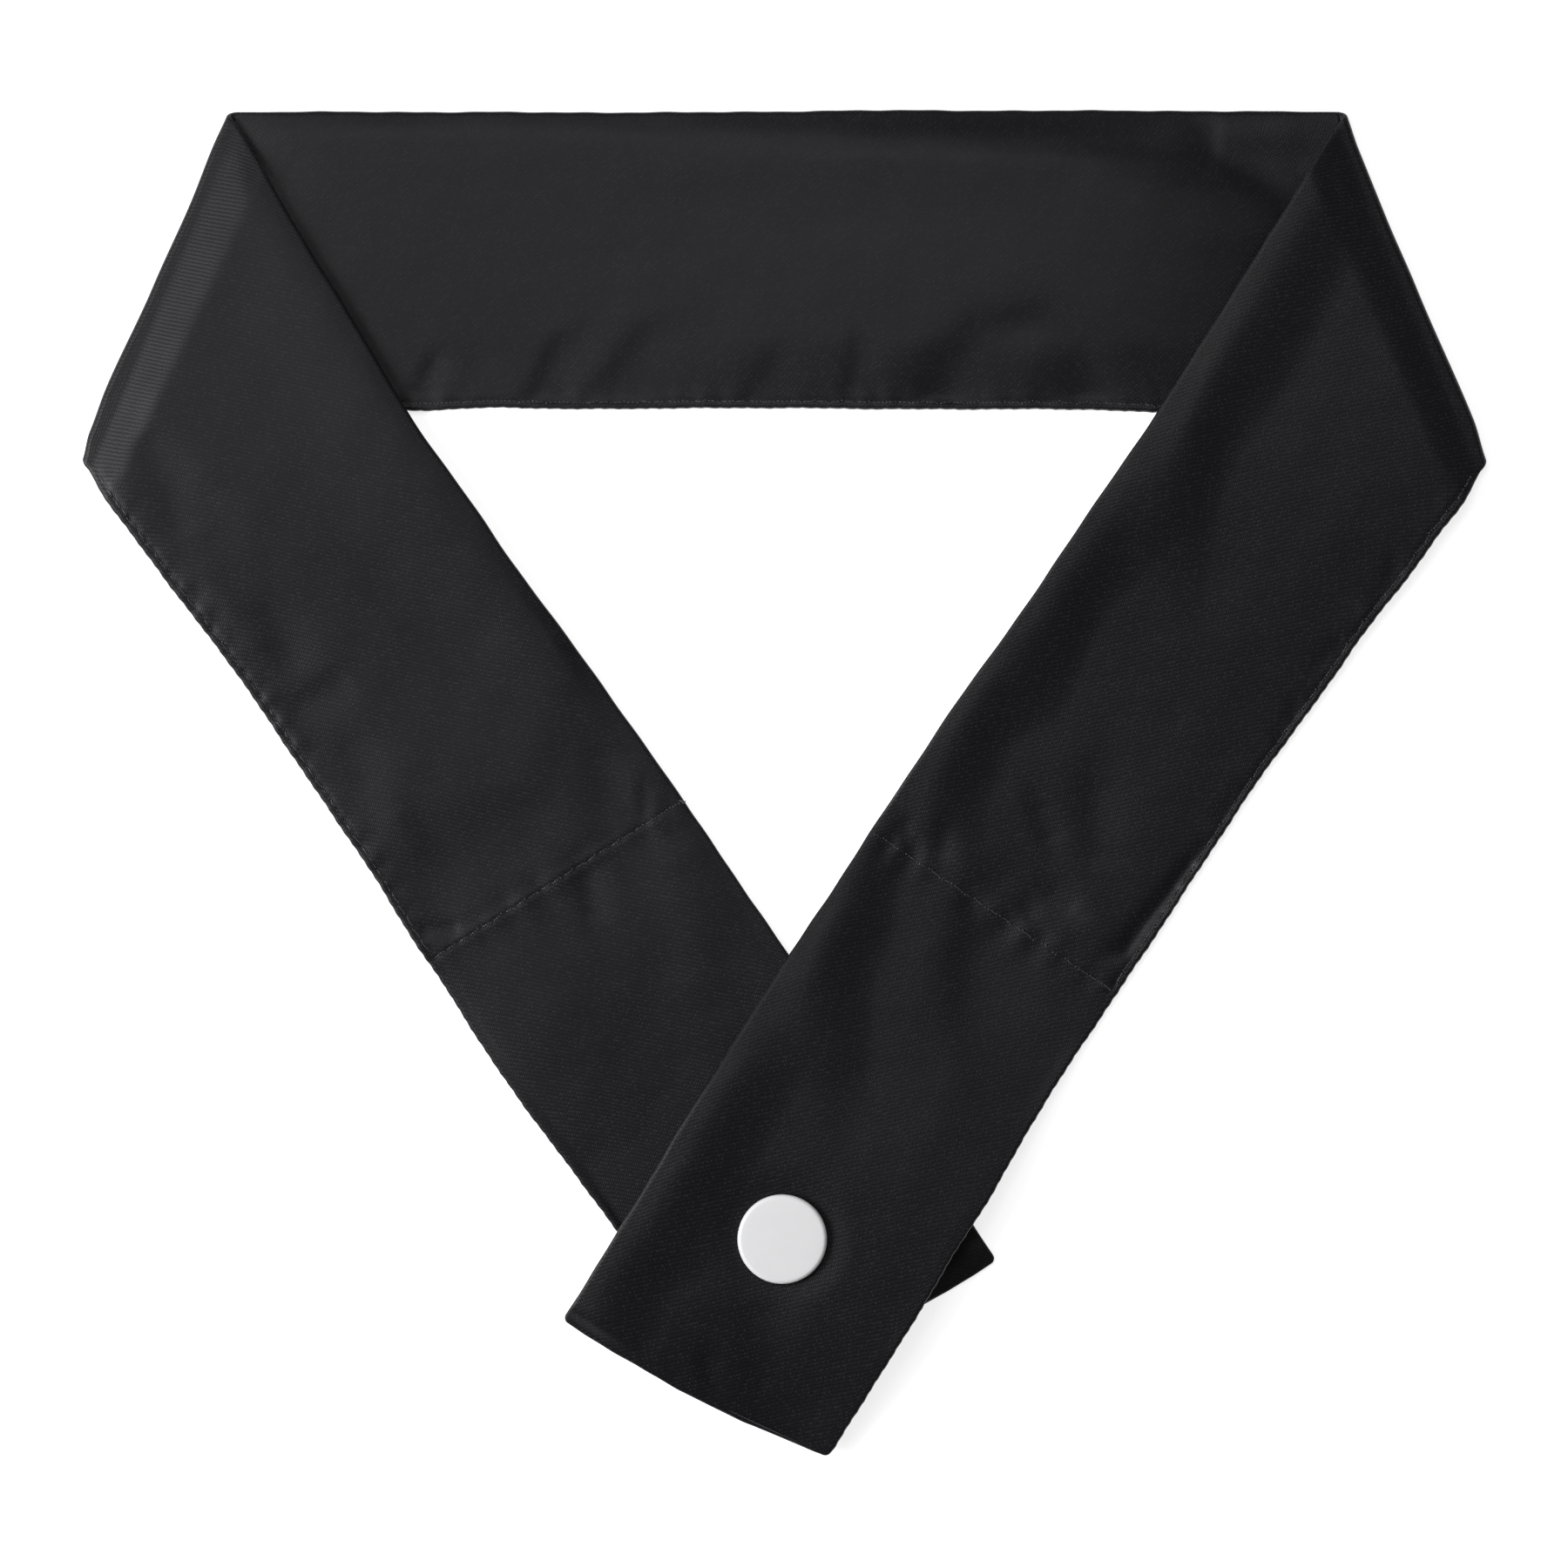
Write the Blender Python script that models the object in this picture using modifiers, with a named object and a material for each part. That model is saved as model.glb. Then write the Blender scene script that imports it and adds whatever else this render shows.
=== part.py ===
"""Cooling neck wrap, laid flat in a loop and snapped shut.

One black satin panel, folded along its length, turned and stitched along its open side, makes a
flat strap. The neck stretch runs straight along the back. At each end a crease turns the strap
over on itself, and the two arms come down and cross, where a four-part plastic snap holds them.
A cross seam on each arm closes the cooling pocket; the tails beyond it are plain.

Metres, +Z up. The wrap lies on z = 0 and is seen from +Z, the neck stretch towards +Y and the
snap towards -Y. The origin is on the surface, under the middle of the outline.
Sizes below are in millimetres unless a name says otherwise.
"""

import math
from collections import namedtuple

import bmesh
import bpy
from mathutils import Vector

MM = 0.001

# ---- Strap: width, thickness and the gap between pieces that touch ----
GAP = 0.3
POCKET_THICKNESS = 2.2
TAIL_THICKNESS = 1.5
CREASE_THICKNESS = 1.8
EDGE_THICKNESS = 1.1
SEAM_THICKNESS = 1.0
EDGE_REACH = 8.0
SEAM_REACH = 7.0
CREASE_REACH = 8.0
STITCH_INSET = 1.2
STITCH_PRESS = 0.2
STITCH_GROOVE = 0.6

# ---- Layout: where the strap runs, as seen from above ----
PEAK_Y = 113.0
LEFT_PEAK_X = -93.5
RIGHT_PEAK_X = 94.4
NECK_LOWER_SLOPE = 0.15
LEFT_HIDDEN_SHARE = 0.23
RIGHT_HIDDEN_SHARE = 0.77

Run = namedtuple("Run", "length lean_deg")
LEFT_CREASE = Run(63.5, 22.7)
RIGHT_CREASE = Run(63.4, 22.0)
LEFT_INNER_EDGE = Run(232.6, 33.8)
LEFT_OUTER_EDGE = Run(191.9, 35.1)
RIGHT_INNER_EDGE = Run(242.0, 32.9)
RIGHT_OUTER_EDGE = Run(200.8, 33.5)

# ---- How far each edge drifts outwards from a straight line ----
Drift = namedtuple("Drift", "at out")
STRAIGHT = (Drift(0.0, 0.0), Drift(1.0, 0.0))
LEFT_CREASE_DRIFT = (
    Drift(0.00, 0.0),
    Drift(0.10, 0.2),
    Drift(0.25, 0.0),
    Drift(0.50, 0.4),
    Drift(0.80, 1.1),
    Drift(0.92, 0.8),
    Drift(1.00, 0.1),
)
RIGHT_CREASE_DRIFT = (
    Drift(0.00, 0.1),
    Drift(0.10, -0.2),
    Drift(0.30, -0.2),
    Drift(0.50, 0.1),
    Drift(0.88, 0.7),
    Drift(1.00, 0.1),
)
NECK_TOP_DRIFT = (
    Drift(0.00, 0.00),
    Drift(0.10, 0.15),
    Drift(0.20, 0.05),
    Drift(0.40, 0.00),
    Drift(0.58, 0.30),
    Drift(0.85, 0.25),
    Drift(1.00, 0.10),
)
NECK_LOWER_DRIFT = (
    Drift(0.00, 0.0),
    Drift(0.12, -5.4),
    Drift(0.23, -8.2),
    Drift(0.29, -8.6),
    Drift(0.35, -8.4),
    Drift(0.42, -8.6),
    Drift(0.72, -8.4),
    Drift(0.77, -8.0),
    Drift(0.88, -5.2),
    Drift(1.00, 0.0),
)
LEFT_INNER_DRIFT = (
    Drift(0.00, 0.0),
    Drift(0.13, -1.6),
    Drift(0.26, -2.9),
    Drift(0.36, -2.4),
    Drift(0.50, -1.2),
    Drift(0.60, -0.7),
    Drift(0.70, -0.5),
    Drift(0.85, -0.2),
    Drift(1.00, 0.0),
)
LEFT_OUTER_DRIFT = (
    Drift(0.00, 0.0),
    Drift(0.03, 0.5),
    Drift(0.12, 0.1),
    Drift(0.23, -0.6),
    Drift(0.41, 0.0),
    Drift(0.54, 1.0),
    Drift(0.64, 1.8),
    Drift(0.82, 1.1),
    Drift(1.00, 0.0),
)
RIGHT_INNER_DRIFT = (
    Drift(0.00, 0.0),
    Drift(0.13, -0.4),
    Drift(0.25, -0.7),
    Drift(0.38, 0.0),
    Drift(0.50, 1.1),
    Drift(0.60, 1.4),
    Drift(0.71, 1.6),
    Drift(0.82, 1.4),
    Drift(0.93, 0.5),
    Drift(1.00, 0.3),
)
RIGHT_OUTER_DRIFT = (
    Drift(0.00, 0.0),
    Drift(0.03, 0.5),
    Drift(0.08, -0.1),
    Drift(0.20, -1.4),
    Drift(0.33, -2.4),
    Drift(0.50, -2.4),
    Drift(0.64, -2.5),
    Drift(0.77, -1.3),
    Drift(0.90, -0.5),
    Drift(1.00, 0.1),
)

# ---- Stations along each arm: share of the inner and outer edge, and the steps up to it ----
Station = namedtuple("Station", "place inner outer steps")
LEFT_STATIONS = (
    Station("crease", 0.0, 0.0, 0),
    Station("pocket", 0.578, 0.513, 28),
    Station("cross seam", 0.594, 0.530, 1),
    Station("tail", 0.610, 0.547, 1),
    Station("end", 1.0, 1.0, 18),
)
RIGHT_STATIONS = (
    Station("crease", 0.0, 0.0, 0),
    Station("pocket", 0.580, 0.522, 28),
    Station("cross seam", 0.596, 0.539, 1),
    Station("tail", 0.612, 0.556, 1),
    Station("end", 1.0, 1.0, 20),
)
NECK_STEPS = 36
BEND_STEPS = 6
LIP = 1.0

# ---- Tail ends: how much of the corner's radius is left, and how far the seam is pressed ----
CORNER_RADIUS = 1.3
EndStep = namedtuple("EndStep", "radius_left flatten")
END_STEPS = (EndStep(1.0, 0.3), EndStep(0.3, 0.7), EndStep(0.0, 1.0))
LEFT_END_BULGE = 1.2
RIGHT_END_BULGE = 1.3
END_BULGE_REACH = 14.0
END_THICKNESS = 0.8

# ---- How the cloth rises over what lies under it ----
FALL = 10.0
OUTLINE_MARGIN = 2.5
SNAP_X = -0.3
SNAP_Y = -76.3
BUMP_TOP_RADIUS = 8.5
LEFT_BUMP_RADIUS = 25.0
RIGHT_BUMP_RADIUS = 27.0
RIGHT_BUMP_STRETCH = 1.5
PINCH_RADIUS = 6.5
PINCH_REACH = 5.0
PINCHED_THICKNESS = 1.0

# ---- Largest folds: soft troughs pressed into the upper cloth ----
TROUGH_MARGIN = 4.0
Trough = namedtuple("Trough", "x y length width turn_deg depth")
NECK_TROUGHS = (
    Trough(73.0, 101.0, 16.0, 6.0, 68.0, 0.55),
    Trough(28.0, 70.0, 5.0, 4.5, 70.0, 0.40),
    Trough(50.0, 70.0, 5.0, 4.5, 100.0, 0.40),
    Trough(-28.0, 68.0, 6.0, 4.0, 40.0, 0.40),
)
LEFT_TROUGHS = (
    Trough(-105.0, 48.0, 9.0, 6.0, 75.0, 0.40),
    Trough(-46.0, -10.0, 11.0, 5.0, 20.0, 0.45),
    Trough(-33.0, -20.0, 8.0, 4.0, 85.0, 0.25),
)
RIGHT_TROUGHS = (
    Trough(74.0, 62.0, 24.0, 4.5, 62.0, 0.55),
    Trough(46.0, 20.0, 22.0, 4.5, 56.0, 0.60),
    Trough(28.0, -12.0, 16.0, 5.0, 58.0, 0.45),
    Trough(8.0, -30.0, 20.0, 4.5, 62.0, 0.45),
    Trough(-17.0, -74.0, 20.0, 4.0, 60.0, 0.45),
    Trough(48.0, -5.0, 8.0, 5.0, 110.0, 0.35),
    Trough(33.0, -31.0, 7.0, 4.5, 80.0, 0.30),
)

# ---- Places round the strap's section ----
FOLD_INSETS = (0.6, 2.4, 5.2, 9.0)
MIDDLE_SHARES = (0.30, 0.42, 0.54, 0.66)
STITCH_INSETS = (9.0, 5.2, 2.6, 1.2, 0.5)
Nose = namedtuple("Nose", "inset level")
FOLD_NOSE = (Nose(0.15, 0.18), Nose(0.0, 0.5), Nose(0.15, 0.82))
STITCH_NOSE = (
    Nose(0.12, 0.86),
    Nose(0.0, 0.72),
    Nose(0.4, 0.50),
    Nose(0.0, 0.28),
    Nose(0.12, 0.14),
)

# ---- Snap ----
CAP_RADIUS = 7.5
CAP_THICKNESS = 1.5
CAP_ROUNDING = 0.7
BACK_CAP_THICKNESS = 1.5
SOCKET_RADIUS = 6.0
STUD_THICKNESS = 0.9
SOCKET_THICKNESS = 2.2
SOCKET_ROOF = 0.6
SOCKET_RECESS_RADIUS = 3.0
KNOB_RADIUS = 2.5
KNOB_HEIGHT = 1.5
KNOB_NECK_RADIUS = 2.2
PIN_RADIUS = 1.2
PIN_HOLE_RADIUS = 1.6
SNAP_ROUNDING = 0.3
TURN_STEPS = 28
QUARTER_STEPS = 2
CUTTER_HEIGHT = 30.0
MERGE_DISTANCE = 0.01
SHARP_DEG = 50.0

# ---- Heights in the snap's stack, from the surface up ----
LEFT_TAIL_LIFT = BACK_CAP_THICKNESS + GAP
STUD_BASE_Z = LEFT_TAIL_LIFT + PINCHED_THICKNESS + GAP
STUD_FLOOR_Z = STUD_BASE_Z + STUD_THICKNESS
SOCKET_Z = STUD_FLOOR_Z + GAP
SOCKET_TOP_Z = SOCKET_Z + SOCKET_THICKNESS
RIGHT_TAIL_LIFT = SOCKET_TOP_Z + GAP
CAP_Z = RIGHT_TAIL_LIFT + PINCHED_THICKNESS + GAP

BLACK_SATIN = ((0.019, 0.019, 0.021, 1.0), 0.55)
WHITE_RESIN = ((0.82, 0.82, 0.83, 1.0), 0.45)


def clear_scene():
    """Remove the scene's objects."""
    for thing in list(bpy.data.objects):
        bpy.data.objects.remove(thing, do_unlink=True)


def rise(share):
    """Smooth step from 0 to 1 as share goes from 0 to 1."""
    share = min(1.0, max(0.0, share))
    return share * share * (3.0 - 2.0 * share)


def mix(low, high, share):
    """The value or point that lies share of the way from low to high."""
    return low + (high - low) * share


def drift_at(rows, at):
    """Read a drift table at a share of the edge's length, eased between its rows."""
    for before, after in zip(rows, rows[1:]):
        if at <= after.at:
            share = (at - before.at) / (after.at - before.at)
            return mix(before.out, after.out, rise(share))
    return rows[-1].out


class Edge:
    """One long edge of a stretch, seen from above: a straight line and its drift."""

    def __init__(self, start, end, drift, outwards):
        self.start = start
        self.end = end
        self.drift = drift
        along = (end - start).normalized()
        square = Vector((along.y, -along.x))
        self.out = square if square.dot(outwards) > 0.0 else -square

    def at(self, share):
        """The point at a share of the edge's length."""
        return mix(self.start, self.end, share) + self.out * drift_at(self.drift, share)

    def inside(self, place):
        """How far a place lies to the cloth's side of the straight line."""
        return -(place - self.start).dot(self.out)


def run_from(start, run, sideways):
    """The far end of a run that leans sideways (-1 left, +1 right) as it goes down -Y."""
    lean = math.radians(run.lean_deg)
    return start + run.length * Vector((sideways * math.sin(lean), -math.cos(lean)))


class Crease:
    """The line the strap turns over on, with the bend between its two layers.

    The bend's outermost line follows the crease's outline. The strap's two edges come in along
    the neck stretch and leave along the arm, so they slide along the crease as they go round.
    """

    def __init__(self, peak, run, side, drift, inner_run, outer_run):
        self.side = side
        self.drift = drift
        self.peak = peak
        self.low = run_from(peak, run, side)
        self.along = (self.low - peak).normalized()
        self.out = Vector((side * abs(self.along.y), abs(self.along.x)))
        origin = Vector((0.0, 0.0))
        inner = run_from(origin, Run(1.0, inner_run.lean_deg), -side)
        outer = run_from(origin, Run(1.0, outer_run.lean_deg), -side)
        neck_top = Vector((-side, 0.0))
        neck_low = Vector((-side, NECK_LOWER_SLOPE)).normalized()
        self.peak_slides = (self.slide(inner), self.slide(neck_top))
        self.low_slides = (self.slide(outer), self.slide(neck_low))

    def slide(self, direction):
        """How far along the crease an edge moves while it crosses half of the bend."""
        half_bend = EDGE_THICKNESS + GAP / 2.0
        return half_bend * direction.dot(self.along) / -direction.dot(self.out)

    def axis(self, v, turned, thick):
        """The bend's middle line at share v; turned is 0 in the arm's layer, 1 in the neck's."""
        top = self.peak + self.along * mix(*self.peak_slides, turned)
        bottom = self.low + self.along * mix(*self.low_slides, turned)
        return mix(top, bottom, v) + self.out * (drift_at(self.drift, v) - GAP / 2.0 - thick)

    def neck_shift(self, distance):
        """Move along the neck stretch until the crease is this far behind."""
        return Vector((-self.side * distance / abs(self.out.x), 0.0))


LEFT_FOLD = Crease(
    Vector((LEFT_PEAK_X, PEAK_Y)),
    LEFT_CREASE,
    -1.0,
    LEFT_CREASE_DRIFT,
    LEFT_INNER_EDGE,
    LEFT_OUTER_EDGE,
)
RIGHT_FOLD = Crease(
    Vector((RIGHT_PEAK_X, PEAK_Y)),
    RIGHT_CREASE,
    1.0,
    RIGHT_CREASE_DRIFT,
    RIGHT_INNER_EDGE,
    RIGHT_OUTER_EDGE,
)
LEFT_END = run_from(LEFT_FOLD.peak, LEFT_INNER_EDGE, 1.0)
RIGHT_END = run_from(RIGHT_FOLD.peak, RIGHT_INNER_EDGE, -1.0)
LEFT_OUTER_END = run_from(LEFT_FOLD.low, LEFT_OUTER_EDGE, 1.0)
RIGHT_OUTER_END = run_from(RIGHT_FOLD.low, RIGHT_OUTER_EDGE, -1.0)
SNAP = Vector((SNAP_X, SNAP_Y))
ARM = 0.0
NECK = 1.0


def fold_edge(fold, layer):
    """Where the strap's folded edge leaves the bend, in one of its two layers."""
    return fold.axis(0.0, layer, EDGE_THICKNESS)


def stitched_edge(fold, layer):
    """Where the strap's stitched edge leaves the bend, in one of its two layers."""
    return fold.axis(1.0, layer, EDGE_THICKNESS)


LEFT_INNER = Edge(fold_edge(LEFT_FOLD, ARM), LEFT_END, LEFT_INNER_DRIFT, Vector((1, 0)))
LEFT_OUTER = Edge(stitched_edge(LEFT_FOLD, ARM), LEFT_OUTER_END, LEFT_OUTER_DRIFT, Vector((-1, 0)))
LEFT_CLOSE = Edge(LEFT_END, LEFT_OUTER_END, STRAIGHT, Vector((0, -1)))
RIGHT_INNER = Edge(fold_edge(RIGHT_FOLD, ARM), RIGHT_END, RIGHT_INNER_DRIFT, Vector((-1, 0)))
RIGHT_OUTER = Edge(stitched_edge(RIGHT_FOLD, ARM), RIGHT_OUTER_END, RIGHT_OUTER_DRIFT, Vector((1, 0)))
NECK_TOP = Edge(
    fold_edge(LEFT_FOLD, NECK), fold_edge(RIGHT_FOLD, NECK), NECK_TOP_DRIFT, Vector((0, 1))
)
NECK_LOWER = Edge(
    stitched_edge(LEFT_FOLD, NECK), stitched_edge(RIGHT_FOLD, NECK), NECK_LOWER_DRIFT, Vector((0, -1))
)
LEFT_HIDDEN_EDGE = Edge(
    LEFT_FOLD.low, NECK_LOWER.at(LEFT_HIDDEN_SHARE), STRAIGHT, Vector((0, -1))
)
RIGHT_HIDDEN_EDGE = Edge(
    RIGHT_FOLD.low, NECK_LOWER.at(RIGHT_HIDDEN_SHARE), STRAIGHT, Vector((0, -1))
)


def section_thickness(v, width, middle):
    """Thickness of the flat strap at share v of its width, from the fold to the stitching."""
    from_fold = v * width
    from_stitch = (1.0 - v) * width
    swell = rise(from_fold / EDGE_REACH) * rise((from_stitch - STITCH_INSET) / EDGE_REACH)
    edge = min(EDGE_THICKNESS, middle)
    pressed = STITCH_PRESS * max(0.0, 1.0 - abs(from_stitch - STITCH_INSET) / STITCH_GROOVE)
    return mix(edge, middle, swell) - pressed


def trough_depth(troughs, place, v, width):
    """How far the upper cloth is pressed down at a place, nothing right at the strap's edges."""
    depth = 0.0
    for trough in troughs:
        turn = math.radians(trough.turn_deg)
        along = Vector((math.cos(turn), math.sin(turn)))
        across = Vector((-along.y, along.x))
        offset = place - Vector((trough.x, trough.y))
        far = (offset.dot(along) / trough.length) ** 2 + (offset.dot(across) / trough.width) ** 2
        depth += trough.depth * math.exp(-far)
    return depth * rise(v * width / TROUGH_MARGIN) * rise((1.0 - v) * width / TROUGH_MARGIN)


def snap_distance(place, stretch, direction):
    """Distance from the snap's axis, counted short along a direction by the stretch."""
    offset = place - SNAP
    along = offset.dot(direction) / stretch
    across = offset.dot(Vector((-direction.y, direction.x)))
    return math.hypot(along, across)


def bump(distance, rim):
    """Height share of the cloth tented over the snap."""
    return rise((rim - distance) / (rim - BUMP_TOP_RADIUS))


def pinch(place, thickness):
    """Thickness where the snap squeezes the cloth."""
    away = (place - SNAP).length
    return mix(min(PINCHED_THICKNESS, thickness), thickness, rise((away - PINCH_RADIUS) / PINCH_REACH))


class Arm:
    """One arm of the strap: the bend at its crease, the pocket, the cross seam and the tail."""

    def __init__(self, fold, hidden_edge, inner, outer, stations, troughs, end_bulge):
        self.fold = fold
        self.hidden_edge = hidden_edge
        self.inner = inner
        self.outer = outer
        self.stations = stations
        self.troughs = troughs
        self.end_bulge = end_bulge
        self.along = (inner.end - inner.start).normalized()

    def shares(self):
        """Inner and outer edge shares of each section, from the crease to the end."""
        found = [(self.stations[0].inner, self.stations[0].outer)]
        for before, after in zip(self.stations, self.stations[1:]):
            for step in range(1, after.steps + 1):
                share = step / after.steps
                found.append(
                    (mix(before.inner, after.inner, share), mix(before.outer, after.outer, share))
                )
        return found

    def seam_station(self):
        return next(row for row in self.stations if row.place == "cross seam")

    def middle_thickness(self, inner_share):
        """Thickness of the strap's middle: thin at the crease, pressed at the cross seam."""
        length = (self.inner.end - self.inner.start).length
        from_crease = inner_share * length
        from_seam = (inner_share - self.seam_station().inner) * length
        full = POCKET_THICKNESS if from_seam < 0.0 else TAIL_THICKNESS
        opened = mix(CREASE_THICKNESS, full, rise(from_crease / CREASE_REACH))
        return mix(SEAM_THICKNESS, opened, rise(abs(from_seam) / SEAM_REACH))

    def neck_lift(self, place, v, width, inner_share):
        """Height of the arm's underside where it lies over the neck stretch."""
        length = (self.inner.end - self.inner.start).length
        at_crease = section_thickness(v, width, CREASE_THICKNESS)
        settled = rise(inner_share * length / CREASE_REACH)
        resting = mix(at_crease, POCKET_THICKNESS, settled) + GAP
        above = self.hidden_edge.inside(place)
        return resting * rise(1.0 + above / FALL)

    def lift(self, place, v, width, inner_share):
        """Height of the arm's underside above the surface."""
        return max(self.crossing_lift(place), self.neck_lift(place, v, width, inner_share))

    def local_thickness(self, place, v, width, inner_share):
        middle = self.middle_thickness(inner_share)
        thick = section_thickness(v, width, middle)
        pressed = trough_depth(self.troughs, place, v, width)
        return max(min(SEAM_THICKNESS, thick), thick - pressed)

    def rings(self):
        """All the rings of points round the arm, from under the fold to the tail's end."""
        rings = [self.fold_ring(NECK, LIP)]
        for step in range(BEND_STEPS):
            rings.append(self.fold_ring(1.0 - step / BEND_STEPS, 0.0))
        rings.append(self.fold_ring(ARM, 0.0))
        shares = self.shares()
        for inner_share, outer_share in shares[1:-1]:
            rings.append(self.flat_ring(inner_share, outer_share, 0.0, 0.0))
        rings.extend(self.end_rings())
        return rings

    def fold_ring(self, turned, slide):
        """A ring inside the bend: turned goes from 0 in the arm's layer to 1 in the neck's."""
        ring = []
        width = (self.fold.low - self.fold.peak).length
        angle = math.pi * turned
        for v, level in ring_places(width, 0.0):
            thick = section_thickness(v, width, CREASE_THICKNESS)
            radius = GAP / 2.0 + level * thick
            height = thick + GAP / 2.0 + radius * math.cos(angle)
            place = self.fold.axis(v, turned, thick) + self.fold.out * radius * math.sin(angle)
            place = place + self.fold.neck_shift(slide)
            ring.append((place.x, place.y, height))
        return ring

    def flat_ring(self, inner_share, outer_share, inset, flatten):
        """A ring across the strap where it lies flat; inset narrows it at a rounded corner."""
        start = self.inner.at(inner_share)
        end = self.outer.at(outer_share)
        width = (end - start).length
        length = (self.inner.end - self.inner.start).length
        from_end = (1.0 - inner_share) * length
        bulge = self.end_bulge * rise(1.0 - from_end / END_BULGE_REACH)
        ring = []
        for v, level in ring_places(width, inset):
            place = mix(start, end, v) + self.along * bulge * math.sin(math.pi * v)
            thick = pinch(place, self.local_thickness(place, v, width, inner_share))
            if flatten:
                thick = mix(thick, END_THICKNESS, flatten)
            height = self.lift(place, v, width, inner_share) + level * thick
            ring.append((place.x, place.y, height))
        return ring

    def end_rings(self):
        """The rings that round the tail's two corners and press its end seam."""
        length = (self.inner.end - self.inner.start).length
        found = []
        for radius_left, flatten in END_STEPS:
            inset = CORNER_RADIUS * (1.0 - math.sqrt(1.0 - (1.0 - radius_left) ** 2))
            share = 1.0 - radius_left * CORNER_RADIUS / length
            found.append(self.flat_ring(share, share, inset, flatten))
        return found


class RightArm(Arm):
    """The arm that lies on the left one and carries the snap's cap."""

    def crossing_lift(self, place):
        """Height of the underside where it lies over the left arm and the snap."""
        over_left = OUTLINE_MARGIN + LEFT_INNER.inside(place)
        over_left = min(over_left, OUTLINE_MARGIN + LEFT_OUTER.inside(place))
        over_left = min(over_left, OUTLINE_MARGIN + LEFT_CLOSE.inside(place))
        on_left = rise(1.0 + over_left / FALL)
        left_lift = LEFT_TAIL_LIFT * bump(snap_distance(place, 1.0, self.along), LEFT_BUMP_RADIUS)
        resting = (TAIL_THICKNESS + GAP + left_lift) * on_left
        over_snap = RIGHT_TAIL_LIFT - LEFT_TAIL_LIFT - TAIL_THICKNESS - GAP
        tented = bump(snap_distance(place, RIGHT_BUMP_STRETCH, self.along), RIGHT_BUMP_RADIUS)
        return resting + over_snap * tented


class LeftArm(Arm):
    """The arm that lies on the surface and carries the snap's stud."""

    def crossing_lift(self, place):
        """Height of the underside where it lies over the snap's back cap."""
        return LEFT_TAIL_LIFT * bump(snap_distance(place, 1.0, self.along), LEFT_BUMP_RADIUS)


def ring_places(width, inset):
    """Places round a section: share of the width from the fold, and level from 0 below to 1."""
    usable = width - 2.0 * inset
    across = [inset + i for i in FOLD_INSETS]
    across += [inset + share * usable for share in MIDDLE_SHARES]
    across += [width - inset - i for i in STITCH_INSETS]
    places = [(distance / width, 1.0) for distance in across]
    places += [((width - inset - nose.inset) / width, nose.level) for nose in STITCH_NOSE]
    places += [(distance / width, 0.0) for distance in reversed(across)]
    places += [((inset + nose.inset) / width, nose.level) for nose in FOLD_NOSE]
    return places


def butt_curve(fold, v, start, end):
    """How far the neck stretch's end bends from straight to follow the arm's lip."""
    width = (fold.low - fold.peak).length
    thick = section_thickness(v, width, CREASE_THICKNESS)
    return fold.axis(v, NECK, thick) + fold.neck_shift(LIP + GAP) - mix(start, end, v)


def neck_rings():
    """The rings of points round the neck stretch, from its left end to its right."""
    length = (NECK_TOP.end - NECK_TOP.start).length
    left_shift = LEFT_FOLD.neck_shift(LIP + GAP)
    right_shift = RIGHT_FOLD.neck_shift(LIP + GAP)
    rings = []
    for step in range(NECK_STEPS + 1):
        share = step / NECK_STEPS
        shift = mix(left_shift, right_shift, share)
        start, end = NECK_TOP.at(share) + shift, NECK_LOWER.at(share) + shift
        width = (end - start).length
        from_crease = min(share, 1.0 - share) * length
        middle = mix(CREASE_THICKNESS, POCKET_THICKNESS, rise(from_crease / CREASE_REACH))
        fold = LEFT_FOLD if share < 0.5 else RIGHT_FOLD
        follow = rise(1.0 - from_crease / CREASE_REACH)
        ring = []
        for v, level in ring_places(width, 0.0):
            place = mix(start, end, v)
            if follow > 0.0:
                place = place + butt_curve(fold, v, start, end) * follow
            thick = section_thickness(v, width, middle)
            pressed = trough_depth(NECK_TROUGHS, place, v, width)
            ring.append((place.x, place.y, level * max(SEAM_THICKNESS, thick - pressed)))
        rings.append(ring)
    return rings


def lofted(name, rings, material, collection):
    """A closed solid through rings that all have the same number of points."""
    mesh = bpy.data.meshes.new(name)
    shape = bmesh.new()
    rows = [[shape.verts.new(Vector(point) * MM) for point in ring] for ring in rings]
    count = len(rows[0])
    for near, far in zip(rows, rows[1:]):
        for i in range(count):
            j = (i + 1) % count
            shape.faces.new((near[i], near[j], far[j], far[i]))
    shape.faces.new(rows[0])
    shape.faces.new(list(reversed(rows[-1])))
    bmesh.ops.triangulate(shape, faces=[f for f in shape.faces if len(f.verts) > 4])
    bmesh.ops.recalc_face_normals(shape, faces=shape.faces)
    shape.to_mesh(mesh)
    shape.free()
    mesh.shade_smooth()
    mesh.set_sharp_from_angle(angle=math.radians(SHARP_DEG))
    thing = bpy.data.objects.new(name, mesh)
    mesh.materials.append(material)
    collection.objects.link(thing)
    return thing


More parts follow.
